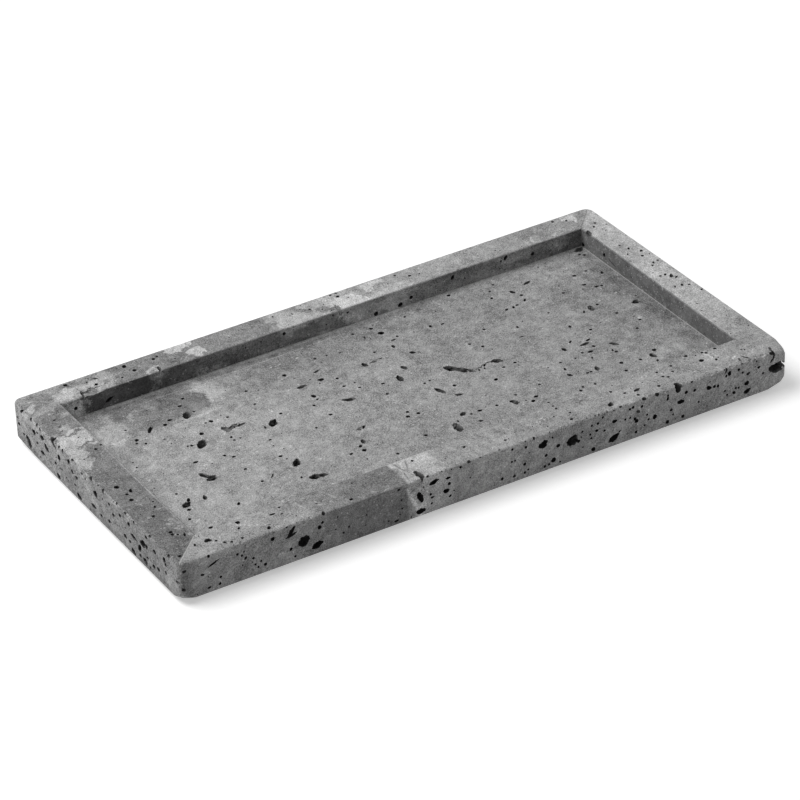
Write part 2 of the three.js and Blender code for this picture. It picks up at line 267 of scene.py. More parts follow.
def makeGrain():
    # mottling, grain, ragged borders and streaks about zero, and flecks, pin pits and hair veins from 0 to 1
    noises = stonePattern["noises"]
    inputs = [(title, "Vector", (0, 0, 0)) for title in ("Vector", "Warped")]
    outputs = [(title, "Float") for title in (*noises, "Fleck", "Pit", "Vein")]
    group, start, end = newGroup("stoneGrain", inputs, outputs)
    place, warped = start["Vector"], start["Warped"]
    lean = [math.radians(angle) for angle in stonePattern["lean"]]
    feeds = {"Vector": warped, "Rotation": lean, "Scale": stonePattern["stretch"]}
    leaning = put(group, "ShaderNodeMapping", feeds, vector_type="TEXTURE").outputs[0]
    for title, (scale, detail) in noises.items():
        where = leaning if title == "Streak" else place
        noise = addNoise(group, where, scale, detail, stonePattern["roughness"])["Fac"]
        centred = reckon(group, "SUBTRACT", noise, 0.5)
        group.links.new(reckon(group, "MULTIPLY", centred, 2.0), end[title])
    bent, plain = stonePattern["flecks"]
    flecks = reckon(group, "ADD", spots(group, warped, *bent), spots(group, place, *plain))
    group.links.new(flecks, end["Fleck"])
    group.links.new(spots(group, place, *stonePattern["pits"]), end["Pit"])
    noise = addNoise(group, warped, *stonePattern["veins"])["Fac"]
    ridge = reckon(group, "ABSOLUTE", reckon(group, "SUBTRACT", noise, 0.5))
    group.links.new(ranged(group, ridge, stonePattern["veinWidth"], 0.0), end["Vein"])
    return group


def makeDepth():
    # how far a point lies inside a piece's box
    inputs = [(title, "Vector", (0, 0, 0)) for title in ("Vector", "Low", "High")]
    group, start, end = newGroup("stoneDepth", inputs, [("Depth", "Float")])
    above = reckonPlace(group, "SUBTRACT", start["Vector"], start["Low"])
    below = reckonPlace(group, "SUBTRACT", start["High"], start["Vector"])
    axes = put(group, "ShaderNodeSeparateXYZ", {0: reckonPlace(group, "MINIMUM", above, below)}).outputs
    depth = reckon(group, "MINIMUM", axes[0], reckon(group, "MINIMUM", axes[1], axes[2]))
    group.links.new(depth, end["Depth"])
    return group


stoneWarp, stonePatch, stoneGrain, stoneDepth = makeWarp(), makePatch(), makeGrain(), makeDepth()

finish = {
    "cloud": 0.5, "mottle": 0.85, "grain": 2, "streak": 0.55,  # share by which each lightens or darkens the stone
    "fleck": 0.24, "pit": 0.6, "vein": 0.04, "rag": 0.5,
    "middle": 0.29, "even": -0.45,  # the tone at which those shares hold, and how they change from it
    "arris": 0.16, "arrisFrom": (0.15, 0.4), "arrisTo": (0.98, 0.88),  # arrises that turn up are paler between these tilts: wear and a painted highlight
    "sideFrom": (0.6, 0.95),  # tilts between which a rim turns into an upright face
    "smears": (0.32, 0.68),  # levels of the noise from dark smears to pale ones
    "roughness": 0.58, "uneven": 0.12, "bump": 0.5, "bumpReach": 0.4, "bumpGrain": 0.4,
}


def planPlace(tree):
    return reckonPlace(tree, "SUBTRACT", put(tree, "ShaderNodeTexCoord").outputs["Object"], shift * mm)


def patched(tree, value, patches, place, rag):
    for x, y, length, breadth, turn, patchValue, edge in patches:
        feeds = {"Vector": place, "Centre": (x * mm, y * mm, 0), "Reach": (length / 2 * mm, breadth / 2 * mm, 1),
                 "Turn": math.radians(turn), "Edge": edge, "Rag": rag}
        mask = put(tree, "ShaderNodeGroup", feeds, node_tree=stonePatch).outputs[0]
        value = mixed(tree, mask, value, patchValue)
    return value


def flattened(tree, place, axis):
    # along an upright face and up from the base
    axes = put(tree, "ShaderNodeSeparateXYZ", {0: place}).outputs
    up = reckon(tree, "SUBTRACT", axes[2], stoneBase * mm)
    return put(tree, "ShaderNodeCombineXYZ", {0: axes[axis], 1: up}).outputs[0]


def sideMask(tree, normal, side):
    feeds = {0: normal, 1: side["facing"]}
    facing = put(tree, "ShaderNodeVectorMath", feeds, operation="DOT_PRODUCT").outputs["Value"]
    return ranged(tree, facing, *side.get("reach", finish["sideFrom"]))


def sideShade(tree, onSide, place, warped, rag, side):
    # an upright face has its own shade and smears; on the inner walls and along the left face's foot that shade is
    # painted shade
    axis = 1 if side["facing"][0] else 0
    bent = flattened(tree, warped, axis)
    shade = patched(tree, side["shade"], side["patches"], bent, rag)
    shade = patched(tree, shade, side.get("lines", ()), flattened(tree, place, axis), 0.0)
    length, breadth, lean, depth = side["smear"]
    feeds = {"Vector": bent, "Rotation": (0, 0, math.radians(lean)), "Scale": (length * mm, breadth * mm, 1)}
    smears = put(tree, "ShaderNodeMapping", feeds, vector_type="TEXTURE").outputs[0]
    smear = ranged(tree, addNoise(tree, smears, 1, 4)["Fac"], *finish["smears"], 1 - depth, 1 + depth)
    return mixed(tree, onSide, 1.0, reckon(tree, "MULTIPLY", smear, shade))


def stoneMaterial(name, look):
    made, tree, shader = newMaterial(name)
    place = planPlace(tree)
    warped = put(tree, "ShaderNodeGroup", {"Vector": place}, node_tree=stoneWarp).outputs[0]
    grain = put(tree, "ShaderNodeGroup", {"Vector": place, "Warped": warped}, node_tree=stoneGrain).outputs
    rag = reckon(tree, "MULTIPLY", grain["Rag"], finish["rag"])
    tone = patched(tree, look["tone"], look["patches"], warped, rag)
    tone = patched(tree, tone, look.get("lines", ()), place, 0.0)
    normal = put(tree, "ShaderNodeTexCoord").outputs["Normal"]
    sides = [(sideMask(tree, normal, side), side) for side in look["sides"]]
    for mask, side in sides:
        if "tone" in side:  # the rim's patches end at the arris
            tone = mixed(tree, mask, tone, side["tone"])
    # the grain shows as well on dark stone as on pale stone
    change = 0.0
    for title in ("Cloud", "Mottle", "Grain", "Streak"):
        change = added(tree, change, grain[title], finish[title.lower()])
    even = reckon(tree, "POWER", reckon(tree, "DIVIDE", tone, finish["middle"]), finish["even"])
    tone = reckon(tree, "MULTIPLY", tone, added(tree, 1.0, change, even))
    # painted shade on the inner walls and at the left face's foot, with the stone's own smears
    for mask, side in sides:
        tone = reckon(tree, "MULTIPLY", tone, sideShade(tree, mask, place, warped, rag, side))
    # arrises that turn up show a little paler: partly wear, partly a painted highlight
    level = put(tree, "ShaderNodeSeparateXYZ", {0: normal}).outputs[2]
    rising, falling = (ranged(tree, level, *finish[end]) for end in ("arrisFrom", "arrisTo"))
    worn = reckon(tree, "MULTIPLY", rising, falling)
    tone = added(tree, tone, worn, look.get("arris", finish["arris"]) * look["tone"])
    tone = added(tree, tone, grain["Fleck"], finish["fleck"])
    tone = added(tree, tone, grain["Vein"], finish["vein"])
    tone = reckon(tree, "MULTIPLY", tone, added(tree, 1.0, grain["Pit"], -finish["pit"]))
    tree.links.new(tone, shader.inputs["Base Color"])
    tree.links.new(added(tree, finish["roughness"], grain["Mottle"], finish["uneven"]), shader.inputs["Roughness"])
    height = reckon(tree, "SUBTRACT", reckon(tree, "MULTIPLY", grain["Grain"], finish["bumpGrain"]), grain["Pit"])
    addBump(tree, shader, height, finish["bump"], finish["bumpReach"])
    return made


poreDepthShades = {
    "Pores": {"mouth": 0.13, "deep": 0.016, "reach": 0.9},  # painted shade: grey at the mouth, nearly black further in
    "Voids": {"mouth": 0.26, "deep": 0.032, "reach": 2.2},  # less painted shade, as light falls into these
}
poreFinish = {"specular": 0.15, "uneven": 0.5, "roughness": 0.85, "roughUneven": 0.1, "bump": 0.7, "bumpReach": 0.4}


def poreMaterial(name, low, high, lining):
    made, tree, shader = newMaterial(name)
    shader.inputs["Specular IOR Level"].default_value = poreFinish["specular"]
    place = planPlace(tree)
    feeds = {"Vector": place, "Low": Vector(low) * mm, "High": Vector(high) * mm}
    depth = put(tree, "ShaderNodeGroup", feeds, node_tree=stoneDepth).outputs[0]
    grain = put(tree, "ShaderNodeGroup", {"Vector": place, "Warped": place}, node_tree=stoneGrain).outputs
    # painted shade: the colour darkens the deeper a point lies in the piece
    tone = ranged(tree, depth, 0.0, lining["reach"] * mm, lining["mouth"], lining["deep"])
    tone = reckon(tree, "MULTIPLY", tone, added(tree, 1.0, grain["Grain"], poreFinish["uneven"]))
    tree.links.new(tone, shader.inputs["Base Color"])
    rough = added(tree, poreFinish["roughness"], grain["Mottle"], poreFinish["roughUneven"])
    tree.links.new(rough, shader.inputs["Roughness"])
    addBump(tree, shader, grain["Grain"], poreFinish["bump"], poreFinish["bumpReach"])
    return made


print("stone effects ready")

# modelling helpers


def makeActive(piece):
    bpy.ops.object.select_all(action="DESELECT")
    piece.select_set(True)
    bpy.context.view_layer.objects.active = piece


def clearSelection(piece, kind):
    makeActive(piece)
    bpy.ops.object.mode_set(mode="EDIT")
    bpy.ops.mesh.select_mode(type=kind)
    bpy.ops.mesh.select_all(action="DESELECT")
    bpy.ops.object.mode_set(mode="OBJECT")


def chooseEdges(piece, wanted):
    clearSelection(piece, "EDGE")
    points = piece.data.vertices
    for edge in piece.data.edges:
        edge.select = wanted(*(points[i].co / mm for i in edge.vertices))
    bpy.ops.object.mode_set(mode="EDIT")


def roundEdges(piece, wanted, radius, steps):
    chooseEdges(piece, wanted)
    bpy.ops.mesh.bevel(offset=radius * mm, segments=steps, affect="EDGES")
    bpy.ops.object.mode_set(mode="OBJECT")


def sliceOff(piece, point, away):
    # everything on the far side of the plane goes, and the cut is closed
    makeActive(piece)
    bpy.ops.object.mode_set(mode="EDIT")
    bpy.ops.mesh.select_all(action="SELECT")
    bpy.ops.mesh.bisect(plane_co=Vector(point) * mm, plane_no=away, use_fill=True, clear_outer=True)
    bpy.ops.object.mode_set(mode="OBJECT")


def modify(piece, kind, **settings):
    bpy.ops.object.modifier_add(type=kind)
    made = piece.modifiers[-1]
    for name, value in settings.items():
        setattr(made, name, value)
    bpy.ops.object.modifier_apply(modifier=made.name)


def copyOf(piece, name):
    made = piece.copy()
    made.data = piece.data.copy()
    made.name = made.data.name = name
    scene.collection.objects.link(made)
    return made


def stoneBlock(low, high):
    bpy.ops.mesh.primitive_cube_add(size=1, location=(low + high) / 2 * mm)
    made = bpy.context.active_object
    made.scale = (high - low) * mm
    bpy.ops.object.transform_apply(location=True, rotation=True, scale=True)
    return made


def near(a, b):
    return abs(a - b) < 0.01


tray = {
    # plan corners before grinding: x, y and the ground radius; the right ones stand off square
    "left front": (-152.4, -76.2, 2.5), "right front": (153.3, -78.9, 3.4),
    "right back": (151.6, 76.2, 4.5), "left back": (-152.4, 76.2, 4),
    "cornerSteps": 10,
    "topEase": 1.0, "bottomEase": 1.6, "rimEase": 0.8, "easeSteps": 3,
    "bondGap": 0.4, "bondClearance": 0.02,
    "smoothAngle": 38,
    # wear, cut flat by flat round a ball: the front right corner's top and foot, and the front left corner's foot;
    # the last one is a single flat along the left face's foot, deeper towards the back
    "noses": [
        {"middle": (149.26, -74.86), "radius": 4, "rises": (20, 42, 65), "turns": (-75, -60, -45, -30, -15)},
        {"middle": (148.65, -74.26), "radius": 4.6, "rises": (-25, -45, -65), "turns": (-75, -60, -45, -30, -15)},
        {"middle": (-147.93, -71.73), "radius": 5, "rises": (-40, -58, -75), "turns": (-150, -135, -120)},
        {"middle": (-152.4, 44), "radius": 0, "rises": (-50,), "turns": (174.6,)},
    ],
}
trayCorners = [(end, side) for end in ("left", "right") for side in ("front", "back")]


def planCorner(end, side):
    return Vector(tray[f"{end} {side}"][:2])


def trayBlank():
    first, last = planCorner("left", "front"), planCorner("left", "back")
    squareRight = -first.x
    made = stoneBlock(Vector((*first, stoneBase)), Vector((squareRight, last.y, stoneTop)))
    for end, side in trayCorners:
        corner = planCorner(end, side)
        square = Vector((math.copysign(squareRight, corner.x), math.copysign(last.y, corner.y)))
        chooseEdges(made, lambda a, b: all(near(p.x, square.x) and near(p.y, square.y) for p in (a, b)))
        bpy.ops.transform.translate(value=(*(corner - square) * mm, 0))
        bpy.ops.object.mode_set(mode="OBJECT")
    for end, side in trayCorners:
        x, y, radius = tray[f"{end} {side}"]
        roundEdges(made, lambda a, b: all(near(p.x, x) and near(p.y, y) for p in (a, b)), radius, tray["cornerSteps"])
    for level, ease in ((stoneTop, tray["topEase"]), (stoneBase, tray["bottomEase"])):
        roundEdges(made, lambda a, b: near(a.z, level) and near(b.z, level), ease, tray["easeSteps"])
    for nose in tray["noses"]:
        level = stoneTop - nose["radius"] if nose["rises"][0] > 0 else stoneBase + nose["radius"]
        for turn in nose["turns"]:
            for rise in nose["rises"]:
                away = Vector((1, 0, 0))
                tilted = Matrix.Rotation(math.radians(-rise), 3, "Y")
                away.rotate(Matrix.Rotation(math.radians(turn), 3, "Z") @ tilted)
                sliceOff(made, Vector((*nose["middle"], level)) + away * nose["radius"], away)
    return made


def mitreLine(end, side):
    # the recess's corner, the way from it to the plan's corner, and the way across
    inside = Vector((inner[end], inner[side]))
    along = (planCorner(end, side) - inside).normalized()
    return inside, along, Vector((-along.y, along.x))


def cutMitre(rail, end, side, middle):
    inside, _, across = mitreLine(end, side)
    if (Vector(middle) - inside).dot(across) < 0:
        across = -across
    sliceOff(rail, (*(inside + across * tray["bondGap"] / 2), 0), (*-across, 0))


def cutFilm(blank, name, end, side):
    # the resin between two rails, a clearance thinner than the gap on both sides
    film = copyOf(blank, name)
    inside, along, across = mitreLine(end, side)
    across = across * (tray["bondGap"] / 2 - tray["bondClearance"])
    for away in (across, -across):
        sliceOff(film, (*(inside + away), 0), (*away.normalized(), 0))
    sliceOff(film, (*inside, 0), (*-along, 0))

    def atRim(p):
        return near((p.xy - inside).dot(along), 0) and near(p.z, stoneTop)

    ease = tray["rimEase"] / min(abs(along.x), abs(along.y))
    roundEdges(film, lambda a, b: atRim(a) and atRim(b), ease, tray["easeSteps"])
    return film


def cutRail(blank, name, side):
    rail = copyOf(blank, name)
    isLong = side in ("front", "back")
    middle = Vector((0, inner[side], 0) if isLong else (inner[side], 0, 0))
    sliceOff(rail, middle, -middle.normalized())
    for other in (("left", "right") if isLong else ("front", "back")):
        cutMitre(rail, *((other, side) if isLong else (side, other)), middle.xy)

    def atRim(p):
        return near(p.y if isLong else p.x, inner[side]) and near(p.z, stoneTop)

    roundEdges(rail, lambda a, b: atRim(a) and atRim(b), tray["rimEase"], tray["easeSteps"])
    return rail


# pores: lumps of a few kinds, copied, placed and cut out

moulds = {
    "small": {"fineness": 2, "swells": [("CLOUDS", 0.9, 0.8)], "kinds": 5},
    "large": {"fineness": 3, "swells": [("CLOUDS", 0.8, 1.0), ("VORONOI", 0.45, 0.45)], "kinds": 6},
    "spacing": 4.3, "start": 1.7,  # each mould stands at another place in the noise that swells it
    "largeFrom": 3,  # length in mm
    "mouth": 1.2,  # lumps come out a little smaller than their measure
    "depth": 1.2, "depthShare": 0.4, "sink": 0.2,  # a pore's depth by its breadth, and how far its middle lies below
    "room": 0.65,  # how far a lump reaches, by its longest measure
}
spareSlots = [bpy.data.materials.new(name) for name in ("spareStone", "sparePore", "spareVoid")]


def makeMould(kind, number):
    place = (number * moulds["spacing"] + moulds["start"], 0, 0)
    bpy.ops.mesh.primitive_ico_sphere_add(subdivisions=kind["fineness"], radius=1, location=place)
    mould = bpy.context.active_object
    for texture, grain, strength in kind["swells"]:
        bumps = bpy.data.textures.new("poreBumps", texture)
        bumps.noise_scale = grain
        modify(mould, "DISPLACE", texture=bumps, texture_coords="GLOBAL", strength=strength)
    mould.location = (0, 0, 0)
    for slot in spareSlots:
        mould.data.materials.append(slot)
    return mould


mouldSets = {name: [makeMould(moulds[name], n) for n in range(moulds[name]["kinds"])] for name in ("small", "large")}


def sideFace(first, second, axis):
    # an outer face from one plan corner to the next, counter-clockwise, starting where it crosses an axis
    along = (planCorner(*second) - planCorner(*first)).normalized()
    start = planCorner(*first) - along * planCorner(*first)[axis] / along[axis]
    return (*start, stoneBase), (*along, 0), (0, 0, 1), (along.y, -along.x, 0)


def arris(face):
    # the upper edge of an outer face, looking up and out at 45 degrees
    start, along, up, out = (Vector(v) for v in face)
    lift = Vector((0, 0, stoneTop - stoneBase))
    return start + lift, along, (up - out).normalized(), (up + out).normalized()


# faces that carry pores: where each starts, its two directions and its outward normal
faces = {
    "floor": ((0, 0, floorTop), (1, 0, 0), (0, 1, 0), (0, 0, 1)),
    "rim": ((0, 0, stoneTop), (1, 0, 0), (0, 1, 0), (0, 0, 1)),
    "under": ((0, 0, stoneBase), (-1, 0, 0), (0, 1, 0), (0, 0, -1)),
    "front": sideFace(("left", "front"), ("right", "front"), 0),
    "right": sideFace(("right", "front"), ("right", "back"), 1),
    "back": sideFace(("right", "back"), ("left", "back"), 0),
    "left": sideFace(("left", "back"), ("left", "front"), 1),
    "frontWall": ((0, inner["front"], floorTop), (-1, 0, 0), (0, 0, 1), (0, 1, 0)),
    "backWall": ((0, inner["back"], floorTop), (1, 0, 0), (0, 0, 1), (0, -1, 0)),
    "leftWall": ((inner["left"], 0, floorTop), (0, 1, 0), (0, 0, 1), (1, 0, 0)),
    "rightWall": ((inner["right"], 0, floorTop), (0, -1, 0), (0, 0, 1), (-1, 0, 0)),
}
arrises = {side + "Arris": arris(faces[side]) for side in ("front", "right", "left")}
faces.update(arrises)

# the front's pores were read as if it were square, and it stands forward to the right
frontReading = {"slope": 2.7 / 305.7, "along": -0.59, "up": 0.73}


def onFront(row):
    along, up, *rest = row
    forward = (along - planCorner("left", "front").x) * frontReading["slope"]
    return along + frontReading["along"] * forward, up + frontReading["up"] * forward, *rest


def readPore(row):
    # along, up, length, then breadth and turn where a pore isn't round, then a depth where it is known
    along, up, length, *rest = row
    breadth = rest[0] if rest else length
    turn = rest[1] if len(rest) > 1 else dice.uniform(0, 180)
    depth = rest[2] if len(rest) > 2 else min(breadth, moulds["depth"] + moulds["depthShare"] * breadth)
    return along, up, length, breadth, turn, depth


def poreLump(face, row, lining):
    along, up, length, breadth, turn, depth = readPore(row)
    start, first, second, out = (Vector(v) for v in faces[face])
    kind = "large" if length >= moulds["largeFrom"] else "small"
    basis = Matrix((first, second, out)).transposed().to_4x4()
    middle = start + first * along + second * up - out * depth * moulds["sink"]
    place = Matrix.Translation(middle * mm) @ basis @ Matrix.Rotation(math.radians(turn), 4, "Z")
    lump = copyOf(dice.choice(mouldSets[kind]), "pore")
    mouth = moulds["mouth"] / 2
    lump.data.transform(place @ Matrix.Diagonal((length * mouth * mm, breadth * mouth * mm, depth * mm, 1)))
    if lining is None:
        lining = 2 if kind == "large" and out.z > 0.9 else 1  # light falls into large ones that look up
    for side in lump.data.polygons:
        side.material_index = lining
    return lump, middle, max(length, breadth, 2 * depth) * moulds["room"]


def dropCrumbs(piece):
    # bits that the pores cut loose all round
    clearSelection(piece, "VERT")
    max(piece.data.vertices, key=lambda p: p.co.length).select = True
    bpy.ops.object.mode_set(mode="EDIT")
    bpy.ops.mesh.select_linked()
    bpy.ops.mesh.select_all(action="INVERT")
    bpy.ops.mesh.delete(type="VERT")
    bpy.ops.object.mode_set(mode="OBJECT")


def cutPores(piece, rows):
    # lumps that would meet each other go into different cuts
    cuts = []
    for row in rows:
        lump, middle, reach = poreLump(*row)
        for cut in cuts:
            if all((middle - m).length > reach + r for _, m, r in cut):
                cut.append((lump, middle, reach))
                break
        else:
            cuts.append([(lump, middle, reach)])
    for cut in cuts:
        cutter = cut[0][0]
        makeActive(cutter)
        for lump, _, _ in cut:
            lump.select_set(True)
        if len(cut) > 1:
            bpy.ops.object.join()
        for slot, own in zip(cutter.material_slots, piece.data.materials):
            slot.material = own
        makeActive(piece)
        modify(piece, "BOOLEAN", operation="DIFFERENCE", solver="MANIFOLD", object=cutter)
        bpy.data.objects.remove(cutter)
    dropCrumbs(piece)
    print(piece.name, "has", len(rows), "pores in", len(cuts), "cuts")


hollowKinds = {"pores": None, "worn": 0, "open": 2}  # the material slot that lines each kind
scattering = {
    "tries": 4,  # for each pore
    "smallness": 2.5, "slimness": 0.6,
    "room": 0.6, "gap": 0.4,  # between pores, by their lengths and in mm
    "chipDepth": 0.4, "chipDepthShare": 0.28, "chipTurn": 20,  # chips lie along their arris
}


def scatter(face, count, alongRange, upRange, sizes, taken, clear=()):
    # seeded small pores between the listed ones
    rows = []
    for _ in range(count * scattering["tries"]):
        if len(rows) == count:
            break
        along, up = dice.uniform(*alongRange), dice.uniform(*upRange)
        length = sizes[0] + (sizes[1] - sizes[0]) * dice.random() ** scattering["smallness"]
        breadth = length * dice.uniform(scattering["slimness"], 1)
        depth = [scattering["chipDepth"] + scattering["chipDepthShare"] * length] if face in arrises else []
        others = [row[:3] for other, row, _ in taken + rows if other == face] + list(clear)
        if all(math.hypot(along - x, up - y) > scattering["room"] * (size + length) + scattering["gap"]
               for x, y, size in others):
            turn = dice.uniform(-scattering["chipTurn"], scattering["chipTurn"]) if depth else dice.uniform(0, 180)
            rows.append((face, (along, up, length, breadth, turn, *depth), dice.choice((0, 1)) if depth else None))
    return rows


def finishStone(piece, name, look):
    piece.data.materials.clear()
    piece.data.materials.append(stoneMaterial(name + "Stone", look))
    for kind, lining in poreDepthShades.items():
        piece.data.materials.append(poreMaterial(name + kind, *look["box"], lining))
    rows = [(face, onFront(row) if face == "front" else row, lining) for kind, lining in hollowKinds.items()
            for face, hollows in look.get(kind, {}).items() for row in hollows]
    for face, count, alongRange, upRange, sizes in look["scatter"]:
        rows += scatter(face, count, alongRange, upRange, sizes, rows, look.get("clear", ()))
    cutPores(piece, rows)
    makeActive(piece)
    bpy.ops.object.shade_smooth_by_angle(angle=math.radians(tray["smoothAngle"]))
    modify(piece, "WEIGHTED_NORMAL", keep_sharp=True)
    piece.data.transform(Matrix.Translation(shift * mm))
    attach(piece, "root")


# floor panel
# patches and lines: x, y, length, breadth, turn, tone and how soft the border is

